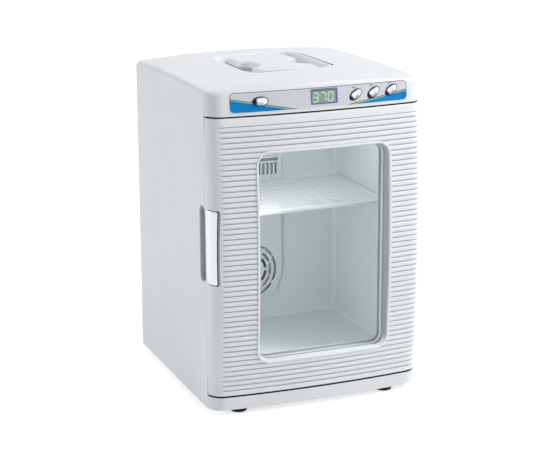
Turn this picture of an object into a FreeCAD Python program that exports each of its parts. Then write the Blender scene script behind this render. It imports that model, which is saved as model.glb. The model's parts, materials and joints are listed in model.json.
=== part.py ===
import FreeCAD, Part
import math
import os

# Driving dimensions, in millimetres.  Z is up, the front faces -Y, and the origin is under the
# middle of the cabinet on the plane that the feet stand on.
CASE_WIDTH = 320.0
CASE_DEPTH = 311.0          # door seam to rear face
FRONT_BULGE = 36.5          # door seam to the foremost point of the bowed front
FOOT_DROP = 9.0             # foot below the plinth
PLINTH_HEIGHT = 19.0
DOOR_HEIGHT = 400.0         # seam to seam
ROOF_RISE = 40.0            # top seam to the crown of the roof
PLAN_SAG = 9.0              # bow of the front across the width
TALL_SAG = 10.0             # bow of the front over the door height
FRONT_CORNER = 24.0
REAR_CORNER = 12.0
ROOF_EDGE = 8.0
ROOF_CROWN_RADIUS = 1830.0  # across the width
ROOF_FALL_RADIUS = 4500.0   # front to back
LEFT_STILE = 64.4           # side of the door to the window frame
RIGHT_STILE = 53.0
BOTTOM_RAIL = 46.0          # door seam to the window frame
TOP_RAIL = 50.0
BEZEL_LIP = 3.0
BEZEL_PROUD = 0.8           # window frame in front of the ribs
SKIN = 3.0                  # moulded wall
SEAM_GAP = 2.0              # door to fascia and door to plinth
FACE_GAP = 1.0              # door rim to the cabinet's front face
FIT = 0.2                   # assembly clearance inside one body
RUN = 0.3                   # clearance between bodies that move past each other
PIN_FIT = 0.05              # radial clearance of a pin in its bush

# Places worked out from the driving dimensions.
HALF = CASE_WIDTH / 2
PLAN_RADIUS = (HALF ** 2 + PLAN_SAG ** 2) / (2 * PLAN_SAG)
TALL_RADIUS = ((DOOR_HEIGHT / 2) ** 2 + TALL_SAG ** 2) / (2 * TALL_SAG)
WINDOW_LEFT = LEFT_STILE - HALF
WINDOW_RIGHT = HALF - RIGHT_STILE
LIP_SAG = (WINDOW_LEFT + BEZEL_LIP) ** 2 / (2 * PLAN_RADIUS)
FOREMOST = FRONT_BULGE + BEZEL_PROUD - LIP_SAG
SEAM = (FOREMOST - CASE_DEPTH) / 2
FRONT = SEAM - FRONT_BULGE
BACK = SEAM + CASE_DEPTH
SILL = FOOT_DROP + PLINTH_HEIGHT
LINTEL = SILL + DOOR_HEIGHT
MIDDLE = SILL + DOOR_HEIGHT / 2
CROWN = LINTEL + ROOF_RISE
DOOR_LOW = SILL + SEAM_GAP
DOOR_TOP = LINTEL - SEAM_GAP
WINDOW_LOW = SILL + BOTTOM_RAIL
WINDOW_TOP = LINTEL - TOP_RAIL
ROOF_APEX = SEAM + 60
BEYOND = 20.0               # how far a cutting solid runs past the face it cuts
NICK = 1.0                  # how far a small cutting solid does

# Chamber and its liner.
SIDE_WALL = 37.0            # case side to chamber side
FLOOR_WALL = 34.0           # door seam to chamber floor
CEILING_WALL = 38.0
REAR_ROOM = 111.0           # chamber back to rear face
REAR_BAY = 61.0             # back of the foam to rear face
CHAMBER_HALF = HALF - SIDE_WALL
CHAMBER_LOW = SILL + FLOOR_WALL
CHAMBER_TOP = LINTEL - CEILING_WALL
CHAMBER_BACK = BACK - REAR_ROOM
FOAM_BACK = BACK - REAR_BAY
FOAM_TOP = LINTEL
CAVITY_TOP = LINTEL + 18
LINER_WALL = 2.0
LINER_FLANGE = 8.0
LINER_CORNER = 6.0
FRONT_WALL = 4.0

# Rear opening and its cover.
REAR_RIM = 13.0             # width of the rim left around the rear opening
REAR_PLATE = 3.0
REAR_SINK = 1.6             # rear cover below the rim, so that its screw heads are flush
REAR_SEAT = 4.0             # ledge that the cover lies on
REAR_TOP = LINTEL + 13
COVER_FACE = BACK - REAR_SINK
COVER_SCREW_INSET = 5.0
EXHAUST_SLOTS = 12
EXHAUST_ROWS = 2
EXHAUST_WIDE = 5.0
EXHAUST_HIGH = 42.0
EXHAUST_PITCH = 60.0        # row to row
EXHAUST_SIDE = 37.0         # cover edge to the first slot
EXHAUST_TOP = 61.0          # cover top to the upper row

# Shelf.
SHELF_TOP = CHAMBER_TOP - 109
SHELF_THICK = 5.0
SHELF_FRONT = SEAM + 17
SHELF_BACK = CHAMBER_BACK - 14
SHELF_PLAY = 1.5
SHELF_BORDER = 10.0         # solid edge, and the bridges between the columns of slots
SHELF_ROLL = 2.0
SHELF_SLOT = 3.5
SHELF_COLUMNS = 3
SHELF_ROWS = 12
LEDGE = 6.0

# Circulation fan behind its cover on the back wall.
FAN_X = -22.5
FAN_Z = CHAMBER_LOW + 80
COVER_HALF = 52.0
COVER_TOP = CHAMBER_TOP - 62
COVER_RISE = 10.0
COVER_SKIN = 2.0
GRILLE_RINGS = ((13.0, 17.0), (23.0, 27.5), (31.0, 35.0), (39.0, 43.0))
GRILLE_COUNTS = (4, 8, 10, 6)
GRILLE_TURNS = (45.0, 22.5, 0.0, 0.0)
REAR_GRILLE_COUNT = 4
BRIDGE = 4.0                # solid left between two slots of a grille
OUTLET_SLOTS = 14
OUTLET_EDGE = 6.0
OUTLET_HIGH = 17.0
OUTLET_DROP = 21.0          # cover top to the row of slots
STRIP_HIGH = 4.5
STRIP_DROP = 13.5           # cover top to the long slot above them

# Door hinge, on the right.
PIVOT_X = HALF - 10
PIVOT_Y = SEAM - 7
KNUCKLE = 13.8
KNUCKLE_GAP = 0.5
PIN_RADIUS = 3.0
BUSH_RADIUS = 5.0
BUSH_LENGTH = 14.0
BRACKET = 2.5
BRACKET_REACH = 24.0
BRACKET_HALF = 4.5
SCREW_RADIUS = 1.5
SCREW_LENGTH = 11.0

# Door.
RIB_COUNT = 51
RIB_LOW = SILL + 10
RIB_TOP = LINTEL - 14
RIB_HALF_SPAN = HALF - 17
RIB_CREST = 0.15            # crest below the smooth front
RIB_GROOVE = 1.4            # groove below the smooth front
LINER_FACE = SEAM - 3.5     # face that carries the gasket
LINER_STEP = 2.5            # liner opening inside the clear opening of the glass
DOOR_LINER = 2.5
DOOR_CAVITY_RIGHT = PIVOT_X - KNUCKLE - 1.2
WINDOW_CORNER = 20.0
REVEAL_SIDE = 7.0           # window frame to clear opening
REVEAL_LOW = 4.5
REVEAL_TOP = 6.0
PANE = 3.0
PANE_MARGIN = 2.3
OUTER_PANE = SEAM - 20
INNER_PANE = SEAM - 9
GASKET_WIDTH = 7.0
GASKET_SET = 1.0            # chamber mouth to the seal
GASKET_CORNER = 8.0

# Grip on the free edge of the door, and the finger scoop behind it.
GRIP_LOW = MIDDLE - 34.5
GRIP_TOP = MIDDLE + 72.5
GRIP_FRONT = SEAM - 26.5
GRIP_REAR = SEAM - 1.6
GRIP_CORNER = 3.0
GRIP_HEEL = 14.0            # rounder corner at the foot of the rear edge
GRIP_WRAP = 24.0            # how far the grip may reach round the corner
GRIP_PROUD = 0.8
GRIP_SINK = 2.0
SCOOP_LOW = GRIP_LOW - 1
SCOOP_TOP = GRIP_TOP + 1
SCOOP_REACH = 22.0
SCOOP_DEPTH = 11.0

# Control panel in the fascia.
LABEL_LEFT = 31 - HALF
LABEL_RIGHT = HALF - 27
LABEL_TOP = CROWN - 8.6
LABEL_HIGH = 26.8
LABEL_LOW = LABEL_TOP - LABEL_HIGH
LABEL_CORNER = 6.0
LABEL_THICK = 0.4
LABEL_GLUE = 0.05
DISPLAY_LEFT = -14.3
DISPLAY_RIGHT = 26.0
DISPLAY_LOW = LABEL_LOW + 3.7
DISPLAY_TOP = LABEL_TOP - 1.9
LENS_THICK = 2.0
MODULE_SET = 16.0           # foremost point to the display module
MODULE_DEEP = 7.0
POWER_WIDE = 11.5
POWER_HIGH = 6.4
KEY_WIDE = 10.5
KEY_HIGH = 6.2
KEY_TILT = 35.0
BUTTONS = {"power_button": (73.6 - HALF, LABEL_LOW + 13.4, POWER_WIDE, POWER_HIGH, 0.0),
           "set_button": (HALF - 107.2, LABEL_LOW + 12.8, KEY_WIDE, KEY_HIGH, KEY_TILT),
           "up_button": (HALF - 79.8, LABEL_LOW + 13.6, KEY_WIDE, KEY_HIGH, KEY_TILT),
           "down_button": (HALF - 52.1, LABEL_LOW + 14.8, KEY_WIDE, KEY_HIGH, KEY_TILT)}
BUTTON_TRAVEL = 1.2
BUTTON_PROUD = 2.2
BUTTON_DOME = 48.0
BUTTON_DEEP = 6.0
BUTTON_RIM = 1.2
STEM_RADIUS = 2.0
SWITCH_HALF = 3.0
SWITCH_HIGH = 4.0
POCKET_LEFT = 48 - HALF
POCKET_RIGHT = HALF - 39
POCKET_LOW = LINTEL + 3
POCKET_TOP = CROWN - 10
BOARD_FACE = SEAM - 3
BOARD_THICK = 1.6

# Carrying handle in the roof.
DISH_HALF = HALF - 93.4
DISH_FRONT = SEAM + 77.5
DISH_BACK = BACK - 71.5
DISH_CORNER = 25.0
DISH_DEPTH = 30.0
DISH_DRAFT = 8.0
GRIP_BAR_MIDDLE = 2.5
GRIP_BAR_HALF = 45.5        # across the broad ends
GRIP_BAR_CORNER = 24.0
GRIP_BAR_THICK = 11.0
GRIP_BAR_SINK = 0.8         # grip below the roof around it
BITE_MIDDLE = SEAM + 149.5  # hollows in both sides of the grip
BITE_REACH = 28.0
BITE_DEPTH = 19.0
GRIP_BAR_EDGE = 2.5

# Cooling and heating stack behind the chamber, along Y from the chamber's back wall.
FAN_SIZE = 70.0
FAN_DEPTH = 15.0
FAN_WALL = 2.5
FAN_HUB = 13.0
FAN_BLADES = 7
FAN_ARMS = 3
BLADE_THICK = 1.4
BLADE_PITCH = 48.0          # degrees
TIP_GAP = 1.5
SHAFT_RADIUS = 1.5
SCREW_PITCH_INSET = 4.3     # fan edge to screw axis
FAN_SCREW_HOLE = 2.2
FAN_SCREW = 2.0
FAN_SCREW_HEAD = 3.2
SCREW_HEAD_HIGH = 1.6
CHAMBER_FAN_Y = CHAMBER_BACK + LINER_WALL
COLD_SINK_Y = CHAMBER_FAN_Y + FAN_DEPTH + 1
SINK_SIZE = 96.0
FIN = 1.6
FIN_COUNT = 12
COLD_FINS = 26.0
SINK_BASE = 5.0
MODULE_SIZE = 40.0
MODULE_THICK = 4.0
MODULE_Y = COLD_SINK_Y + COLD_FINS + SINK_BASE
HOT_SINK_Y = MODULE_Y + MODULE_THICK
HOT_FINS = 18.0
REAR_FAN_Y = HOT_SINK_Y + SINK_BASE + HOT_FINS
REAR_FAN_DEPTH = COVER_FACE - REAR_PLATE - 1 - REAR_FAN_Y

# Temperature probe clipped to the back wall.
PROBE_X = 23 - CHAMBER_HALF
PROBE_Z = CHAMBER_TOP - 62
PROBE_RADIUS = 2.5
PROBE_HALF = 18.0
CLIP_REACH = 8.0
CLIP_WIDE = 4.0
CLIP_HIGH = 3.0

# Mains inlet, switch and power supply.
INLET_X = HALF - 52
INLET_Z = SILL + 32
INLET_HALF = 13.5
INLET_HIGH = 10.0
INLET_DEEP = 22.0
WELL_HALF = 12.0
WELL_HIGH = 8.0
WELL_DEEP = 17.0
FLANGE = 2.0                # flange past the body it belongs to
FLANGE_THICK = 1.6
PIN_PITCH = 7.0
PIN_WIDE = 1.0
PIN_HIGH = 2.0
PIN_SINK = 3.0              # pin tip below the flange's rear face
EARTH_RISE = 2.5
LINE_DROP = 1.5
SWITCH_X = INLET_X - 38
SWITCH_WIDE = 7.5
SWITCH_TALL = 10.5
SWITCH_DEEP = 18.0
ROCKER_WELL_WIDE = 5.8
ROCKER_WELL_TALL = 9.0
ROCKER_WELL_DEEP = 14.0
ROCKER_TALL = 7.6
ROCKER_DEEP = 7.0
ROCKER_PROUD = 0.7
ROCKER_AXIS = 5.0           # pivot below the cover's face
ROCKER_PIN = 1.2
ROCKER_PIN_END = 1.0        # pin past the well's side
ROCKER_HOLLOW = 30.0
ROCKER_TILT = 7.0
SUPPLY_LEFT = 30 - HALF
SUPPLY_RIGHT = -10.0

FOOT_RADIUS = 13.5
FOOT_TAPER = 1.5
FOOT_BEVEL = 1.0
FOOT_X = HALF - 47
FOOT_FRONT = SEAM + 1
FOOT_REAR = BACK - 32


def vec(x, y, z):
    return FreeCAD.Vector(x, y, z)


def block(x, y, z):
    """Box over three (low, high) ranges."""
    return Part.makeBox(x[1] - x[0], y[1] - y[0], z[1] - z[0], vec(x[0], y[0], z[0]))


def post(radius, x, y, z):
    """Upright cylinder over the (low, high) range z."""
    return Part.makeCylinder(radius, z[1] - z[0], vec(x, y, z[0]), vec(0, 0, 1))


def rod(radius, x, y, z):
    """Cylinder along Y over the (low, high) range y."""
    return Part.makeCylinder(radius, y[1] - y[0], vec(x, y[0], z), vec(0, 1, 0))


def axle(radius, x, y, z):
    """Cylinder along X over the (low, high) range x."""
    return Part.makeCylinder(radius, x[1] - x[0], vec(x[0], y, z), vec(1, 0, 0))


def join(shapes):
    """One shape from a list of touching or overlapping shapes."""
    return shapes[0].multiFuse(shapes[1:]).removeSplitter()


def grow(limits, margin):
    """A (low, high) range made larger by the same margin at both ends."""
    return (limits[0] - margin, limits[1] + margin)


def about(middle, half):
    """The (low, high) range around a middle."""
    return (middle - half, middle + half)


def edges_along(shape, axis):
    """Straight edges of a shape that run along one axis."""
    return [edge for edge in shape.Edges
            if edge.tangentAt(edge.FirstParameter).cross(axis).Length < 1e-6]


def slab(x, y, z, radius):
    """Upright plate facing the front, with its four corners rounded."""
    plate = block(x, y, z)
    return plate.makeFillet(radius, edges_along(plate, vec(0, 1, 0)))


def tray(x, y, z, radius):
    """Level plate with its four upright corners rounded."""
    plate = block(x, y, z)
    return plate.makeFillet(radius, edges_along(plate, vec(0, 0, 1)))


def arc(radius, start, end, x, y, z):
    """Arc edge in an upright plane facing the front; angles in degrees from +X towards +Z."""
    points = []
    for angle in (start, (start + end) / 2, end):
        turn = math.radians(angle)
        points.append(vec(x + radius * math.cos(turn), y, z + radius * math.sin(turn)))
    return Part.Arc(*points).toShape()


def ring_sector(ring, start, end, y):
    """Curved slot about the fan's axis: part of an upright ring between two angles, over the range y."""
    low = arc(ring[0], start, end, FAN_X, y[0], FAN_Z)
    high = arc(ring[1], start, end, FAN_X, y[0], FAN_Z)
    sides = [Part.makeLine(low.Vertexes[index].Point, high.Vertexes[index].Point) for index in (0, 1)]
    outline = Part.Wire(Part.__sortEdges__([low, high] + sides))
    return Part.Face(outline).extrude(vec(0, y[1] - y[0], 0))


def ring_slots(ring, count, start, y):
    """Equal curved slots around one ring of a grille."""
    step = 360 / count
    half = (step - math.degrees(BRIDGE / ring[0])) / 2
    slots = []
    for index in range(count):
        middle = start + index * step
        slots.append(ring_sector(ring, middle - half, middle + half, y))
    return slots


# ---------------------------------------------------------------- outer form

def plan_face(offset):
    """Plan of the bowed front at mid height, grown by an offset: bow, two corner rounds, straight sides."""
    half = HALF + offset
    corner = FRONT_CORNER + offset
    bow = PLAN_RADIUS + offset
    bow_y = FRONT + PLAN_RADIUS
    corner_x = half - corner
    corner_y = bow_y - math.sqrt((bow - corner) ** 2 - corner_x ** 2)
    reach = bow / (bow - corner)
    touch_x = corner_x * reach
    touch_y = bow_y + (corner_y - bow_y) * reach
    slant = math.radians(45)
    round_x = corner_x + corner * math.cos(slant)
    round_y = corner_y - corner * math.sin(slant)
    rear_y = SEAM + 3 * BEYOND
    edges = [Part.Arc(vec(-touch_x, touch_y, MIDDLE), vec(0, bow_y - bow, MIDDLE),
                      vec(touch_x, touch_y, MIDDLE)).toShape(),
             Part.Arc(vec(touch_x, touch_y, MIDDLE), vec(round_x, round_y, MIDDLE),
                      vec(half, corner_y, MIDDLE)).toShape(),
             Part.makeLine(vec(half, corner_y, MIDDLE), vec(half, rear_y, MIDDLE)),
             Part.makeLine(vec(half, rear_y, MIDDLE), vec(-half, rear_y, MIDDLE)),
             Part.makeLine(vec(-half, rear_y, MIDDLE), vec(-half, corner_y, MIDDLE)),
             Part.Arc(vec(-half, corner_y, MIDDLE), vec(-round_x, round_y, MIDDLE),
                      vec(-touch_x, touch_y, MIDDLE)).toShape()]
    return Part.Face(Part.Wire(edges))


def front_form(offset):
    """The doubly bowed front: the plan turned about a level axis far behind the cabinet."""
    axis_point = vec(0, FRONT + TALL_RADIUS, MIDDLE)
    sweep = math.degrees(math.asin((CROWN + BEYOND - MIDDLE) / (TALL_RADIUS - BEYOND)))
    face = plan_face(offset)
    face.rotate(axis_point, vec(1, 0, 0), -sweep)
    return face.revolve(axis_point, vec(1, 0, 0), 2 * sweep)


def roof_form():
    """Everything under the crowned roof: an arched section turned about a level axis far below."""
    foot = -CROWN
    half = HALF + BEYOND
    eaves = CROWN - ROOF_CROWN_RADIUS + math.sqrt(ROOF_CROWN_RADIUS ** 2 - half ** 2)
    arch = Part.Arc(vec(-half, ROOF_APEX, eaves), vec(0, ROOF_APEX, CROWN), vec(half, ROOF_APEX, eaves))
    corners = [vec(half, ROOF_APEX, eaves), vec(half, ROOF_APEX, foot),
               vec(-half, ROOF_APEX, foot), vec(-half, ROOF_APEX, eaves)]
    sides = [Part.makeLine(*pair) for pair in zip(corners, corners[1:])]
    section = Part.Face(Part.Wire([arch.toShape()] + sides))
    axis_point = vec(0, ROOF_APEX, CROWN - ROOF_FALL_RADIUS)
    sweep = math.degrees(math.asin((CASE_DEPTH + BEYOND) / ROOF_FALL_RADIUS))
    section.rotate(axis_point, vec(1, 0, 0), -sweep)
    return section.revolve(axis_point, vec(1, 0, 0), 2 * sweep)


def highest_face(shape):
    return max(shape.Faces, key=lambda face: face.CenterOfMass.z)


def outer_form():
    """The whole cabinet with its door closed, as one solid."""
    height = (FOOT_DROP, CROWN + BEYOND)
    front = front_form(0).common(block(grow((-HALF, HALF), NICK), (FRONT - BEYOND, SEAM + BEYOND), height))
    rear = block((-HALF, HALF), (SEAM + BEYOND, BACK), height)
    upright = [edge for edge in edges_along(rear, vec(0, 0, 1)) if edge.CenterOfMass.y > BACK - NICK]
    rear = rear.makeFillet(REAR_CORNER, upright)
    whole = join([front, rear]).common(roof_form()).removeSplitter()
    return whole.makeFillet(ROOF_EDGE, highest_face(whole).Edges)


def hinge_round(margin, z):
    """Clearance for the rolled hinge edge of the door, with a margin for the wall around it."""
    return post(KNUCKLE + KNUCKLE_GAP + margin, PIVOT_X, PIVOT_Y, z)


def door_space():
    """The room that the door takes in front of the seam, with the round of its hinge edge."""
    space = block(grow((-HALF, HALF), NICK), (FRONT - BEYOND, SEAM), (SILL, LINTEL))
    return space.fuse(hinge_round(0, (SILL, LINTEL)))


# ---------------------------------------------------------------- cabinet

def scoop(margin):
    """Finger scoop in the left side, round at both ends; the margin gives its outer wall."""
    radius = SCOOP_REACH / 2 + margin
    half = (SCOOP_TOP - SCOOP_LOW) / 2 + margin
    bar = block((-HALF - BEYOND, -HALF + SCOOP_DEPTH + margin), about(SEAM + SCOOP_REACH / 2, radius),
                about((SCOOP_LOW + SCOOP_TOP) / 2, half))
    return bar.makeFillet(radius - FIT, edges_along(bar, vec(1, 0, 0)))


def dish(margin, top):
    """Drafted bowl with round corners under the roof handle, up to the height top."""
    sections = []
    for height in (CROWN - DISH_DEPTH - margin, top):
        inset = DISH_DRAFT * (CROWN - height) / DISH_DEPTH - margin
        level = tray(about(0, DISH_HALF - inset), grow((DISH_FRONT, DISH_BACK), -inset),
                     (height, height + NICK), DISH_CORNER - inset)
        lowest = min(level.Faces, key=lambda face: face.CenterOfMass.z)
        sections.append(lowest.OuterWire)
    return Part.makeLoft(sections, True, True)


def ellipse_prism(x, z, wide, high, tilt, y):
    """Elliptical bar along Y; the long half axis is tilted up to the right."""
    turn = math.radians(tilt)
    along = vec(math.cos(turn), 0, math.sin(turn))
    across = vec(-math.sin(turn), 0, math.cos(turn))
    centre = vec(x, y[0], z)
    curve = Part.Ellipse(centre + along * wide, centre + across * high, centre)
    return Part.Face(Part.Wire(curve.toShape())).extrude(vec(0, y[1] - y[0], 0))


def button_openings(margin):
    return [ellipse_prism(x, z, wide + margin, high + margin, tilt, (FRONT - BEYOND, SEAM))
            for x, z, wide, high, tilt in BUTTONS.values()]


def display_opening():
    return block((DISPLAY_LEFT, DISPLAY_RIGHT), (FRONT - BEYOND, SEAM), (DISPLAY_LOW, DISPLAY_TOP))


def fascia_pocket():
    """Room for the display and the control board behind the fascia."""
    room = block((POCKET_LEFT, POCKET_RIGHT), (FRONT, SEAM + FRONT_WALL + NICK), (POCKET_LOW, POCKET_TOP))
    return room.common(front_form(-SKIN))


def bracket_outline(z):
    """Plate of a hinge bracket: straight sides, round ends, the pivot at one end."""
    bar = block((PIVOT_X - BRACKET_REACH, PIVOT_X), about(PIVOT_Y, BRACKET_HALF), z)
    ends = [post(BRACKET_HALF, x, PIVOT_Y, z) for x in (PIVOT_X - BRACKET_REACH, PIVOT_X)]
    return join([bar] + ends)


def bracket_screws_at(radius, z):
    return [post(radius, PIVOT_X - reach, PIVOT_Y, z) for reach in (BRACKET_REACH, BRACKET_REACH / 2)]


def rear_opening():
    """Outline of the rear cover: x range and z range."""
    return grow((-HALF, HALF), -REAR_RIM), (FOOT_DROP + REAR_RIM, REAR_TOP)


def foam_cavity():
    """Inside of the outer casing, kept clear of the scoop, the hinge round and the rear rim."""
    x, z = rear_opening()
    main = block(grow((-HALF, HALF), -SKIN), (SEAM + FRONT_WALL, BACK - REAR_CORNER),
                 (FOOT_DROP + FRONT_WALL, CAVITY_TOP))
    kept = [scoop(SKIN), hinge_round(SKIN, (0, CROWN))]
    rear = block(grow(x, -REAR_SEAT), (BACK - REAR_CORNER - NICK, BACK + NICK), grow(z, -REAR_SEAT))
    return main.cut(kept).fuse(rear)


def rear_screw_places():
    x, z = rear_opening()
    x = grow(x, -COVER_SCREW_INSET)
    z = grow(z, -COVER_SCREW_INSET)
    return [(across, up) for across in (x[0], (x[0] + x[1]) / 2, x[1]) for up in z]


def foot_places():
    return [(side * FOOT_X, y) for y in (FOOT_FRONT, FOOT_REAR) for side in (-1, 1)]


def outer_casing(form):
    """One-piece moulding: sides, roof, fascia and plinth, with the foam cavity inside."""
    mouth_x = grow((-CHAMBER_HALF, CHAMBER_HALF), LINER_WALL)
    mouth_z = grow((CHAMBER_LOW, CHAMBER_TOP), LINER_WALL)
    rear_x, rear_z = rear_opening()
    screw_end = SCREW_LENGTH + NICK
    cuts = [foam_cavity(), scoop(0), fascia_pocket(), dish(SKIN, CROWN + BEYOND), display_opening(),
            block(mouth_x, (SEAM - NICK, SEAM + FRONT_WALL + NICK), mouth_z),
            block(grow(mouth_x, LINER_FLANGE), (SEAM - NICK, SEAM + LINER_WALL), grow(mouth_z, LINER_FLANGE)),
            block(rear_x, (COVER_FACE - REAR_PLATE, BACK + NICK), rear_z),
            bracket_outline((SILL - BRACKET, SILL + NICK)),
            bracket_outline((LINTEL - NICK, LINTEL + BRACKET))]
    cuts += button_openings(RUN)
    cuts += bracket_screws_at(SCREW_RADIUS, (SILL - screw_end, SILL))
    cuts += bracket_screws_at(SCREW_RADIUS, (LINTEL, LINTEL + screw_end))
    cuts += [rod(SCREW_RADIUS, x, (COVER_FACE - screw_end, BACK), z) for x, z in rear_screw_places()]
    return form.cut(door_space()).cut(cuts)


def inner_liner():
    """Chamber tub with a flange for the gasket and a pair of moulded shelf ledges."""
    x = (-CHAMBER_HALF, CHAMBER_HALF)
    z = (CHAMBER_LOW, CHAMBER_TOP)
    through = (CHAMBER_BACK - NICK, CHAMBER_BACK + LINER_WALL + NICK)
    shell = block(grow(x, LINER_WALL), (SEAM, CHAMBER_BACK + LINER_WALL), grow(z, LINER_WALL))
    flange = block(grow(x, LINER_WALL + LINER_FLANGE), (SEAM, SEAM + LINER_WALL),
                   grow(z, LINER_WALL + LINER_FLANGE))
    room = block(x, (SEAM - BEYOND, CHAMBER_BACK), z)
    inner = [edge for edge in room.Edges if edge.CenterOfMass.y > SEAM - BEYOND + NICK]
    room = room.makeFillet(LINER_CORNER, inner)
    fan_hole = rod(FAN_SIZE / 2 - NICK, FAN_X, through, FAN_Z)
    screw_holes = [rod(FAN_SCREW_HOLE, hole_x, through, hole_z) for hole_x, hole_z in fan_screw_places()]
    ledge_top = SHELF_TOP - SHELF_THICK - RUN
    ledges = []
    for side in (-1, 1):
        ends = sorted((side * (CHAMBER_HALF - LEDGE), side * (CHAMBER_HALF + NICK)))
        ledges.append(block(ends, (SHELF_FRONT, SHELF_BACK), (ledge_top - LEDGE, ledge_top)))
    return join([shell.fuse(flange).cut([room, fan_hole] + screw_holes)] + ledges)


def insulation():
    """Foam between casing and liner, with a tunnel for the cold sink."""
    body = block(grow((-HALF, HALF), -SKIN - FIT), (SEAM + FRONT_WALL + FIT, FOAM_BACK),
                 (FOOT_DROP + FRONT_WALL + FIT, FOAM_TOP))
    half = SINK_SIZE / 2 + FIT
    tub = block(grow((-CHAMBER_HALF, CHAMBER_HALF), LINER_WALL), (SEAM, CHAMBER_BACK + LINER_WALL),
                grow((CHAMBER_LOW, CHAMBER_TOP), LINER_WALL))
    tunnel = block(about(FAN_X, half), (CHAMBER_BACK, FOAM_BACK + NICK), about(FAN_Z, half))
    return body.cut([tub, tunnel, scoop(SKIN + FIT), hinge_round(SKIN + FIT, (0, CROWN))])


def cover_outline(margin, y):
    """Tall panel with a round lower end centred on the fan."""
    half = COVER_HALF + margin
    upper = block(about(FAN_X, half), y, (FAN_Z, COVER_TOP + margin))
    return upper.fuse(rod(half, FAN_X, y, FAN_Z)).removeSplitter()


def outlet_slots(y):
    """Row of upright slots near the top of the fan cover, with one long slot above them."""
    span = 2 * (COVER_HALF - OUTLET_EDGE)
    pitch = span / OUTLET_SLOTS
    z = (COVER_TOP - OUTLET_DROP - OUTLET_HIGH, COVER_TOP - OUTLET_DROP)
    slots = []
    for index in range(OUTLET_SLOTS):
        middle = FAN_X - span / 2 + (index + 0.5) * pitch
        slots.append(block(about(middle, pitch / 4), y, z))
    strip_z = (COVER_TOP - STRIP_DROP - STRIP_HIGH, COVER_TOP - STRIP_DROP)
    return slots + [block(about(FAN_X, span / 2), y, strip_z)]


def fan_cover():
    """Raised cover over the fan: ringed grille below, a row of outlet slots above."""
    y = (CHAMBER_BACK - COVER_RISE, CHAMBER_BACK)
    shell = cover_outline(0, y).cut(cover_outline(-COVER_SKIN, (y[0] + COVER_SKIN, y[1] + NICK)))
    cuts = outlet_slots(grow(y, NICK))
    for ring, count, start in zip(GRILLE_RINGS, GRILLE_COUNTS, GRILLE_TURNS):
        cuts += ring_slots(ring, count, start, grow(y, NICK))
    return shell.cut(cuts)


def shelf():
    """Slotted shelf with a rolled front lip."""
    half = CHAMBER_HALF - SHELF_PLAY
    plate = block((-half, half), (SHELF_FRONT, SHELF_BACK), (SHELF_TOP - SHELF_THICK, SHELF_TOP))
    front = [edge for edge in edges_along(plate, vec(1, 0, 0)) if edge.CenterOfMass.y < SHELF_FRONT + NICK]
    plate = plate.makeFillet(SHELF_ROLL, front)
    column = (2 * half - (SHELF_COLUMNS + 1) * SHELF_BORDER) / SHELF_COLUMNS
    pitch = (SHELF_BACK - SHELF_FRONT - 2 * SHELF_BORDER) / SHELF_ROWS
    cuts = []
    for row in range(SHELF_ROWS):
        middle_y = SHELF_FRONT + SHELF_BORDER + (row + 0.5) * pitch
        for index in range(SHELF_COLUMNS):
            left = -half + SHELF_BORDER + index * (column + SHELF_BORDER)
            cuts.append(block((left, left + column), about(middle_y, SHELF_SLOT / 2),
                              (SHELF_TOP - SHELF_THICK - NICK, SHELF_TOP + NICK)))
    return plate.cut(cuts)


def carry_bowl():
    """Bowl set into the roof under the carrying grip; its rim follows the roof."""
    rim = dish(SKIN - FIT, CROWN + BEYOND).common(roof_form())
    return rim.cut(dish(0, CROWN + BEYOND))


def carry_grip():
    """Broad grip bridging the bowl from front to back, hollowed at both sides and open under it."""
    z = (CROWN - GRIP_BAR_THICK, CROWN + BEYOND)
    bar = tray(about(GRIP_BAR_MIDDLE, GRIP_BAR_HALF), grow((DISH_FRONT, DISH_BACK), NICK), z, GRIP_BAR_CORNER)
    bites = []
    for side in (-1, 1):
        centre = vec(GRIP_BAR_MIDDLE + side * GRIP_BAR_HALF, BITE_MIDDLE, z[0] - NICK)
        curve = Part.Ellipse(centre + vec(0, BITE_REACH, 0), centre - vec(BITE_DEPTH, 0, 0), centre)
        bites.append(Part.Face(Part.Wire(curve.toShape())).extrude(vec(0, 0, z[1] - z[0] + 2 * NICK)))
    cover = roof_form()
    cover.translate(vec(0, 0, -GRIP_BAR_SINK))
    bar = bar.cut(bites).common(cover).common(dish(0, CROWN + BEYOND))
    top = highest_face(bar)
    rim = [edge for edge in top.Edges if not ends_on_bowl(edge)]
    return bar.makeChamfer(GRIP_BAR_EDGE, rim)


def ends_on_bowl(edge):
    """True for the straight edges where the grip runs into the front and rear of the bowl."""
    middle = edge.CenterOfMass
    return min(middle.y - DISH_FRONT, DISH_BACK - middle.y) < GRIP_BAR_EDGE


# ---------------------------------------------------------------- fans and heat pump

def fan_screw_places():
    reach = FAN_SIZE / 2 - SCREW_PITCH_INSET
    return [(FAN_X + i * reach, FAN_Z + j * reach) for i in (-1, 1) for j in (-1, 1)]


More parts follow.
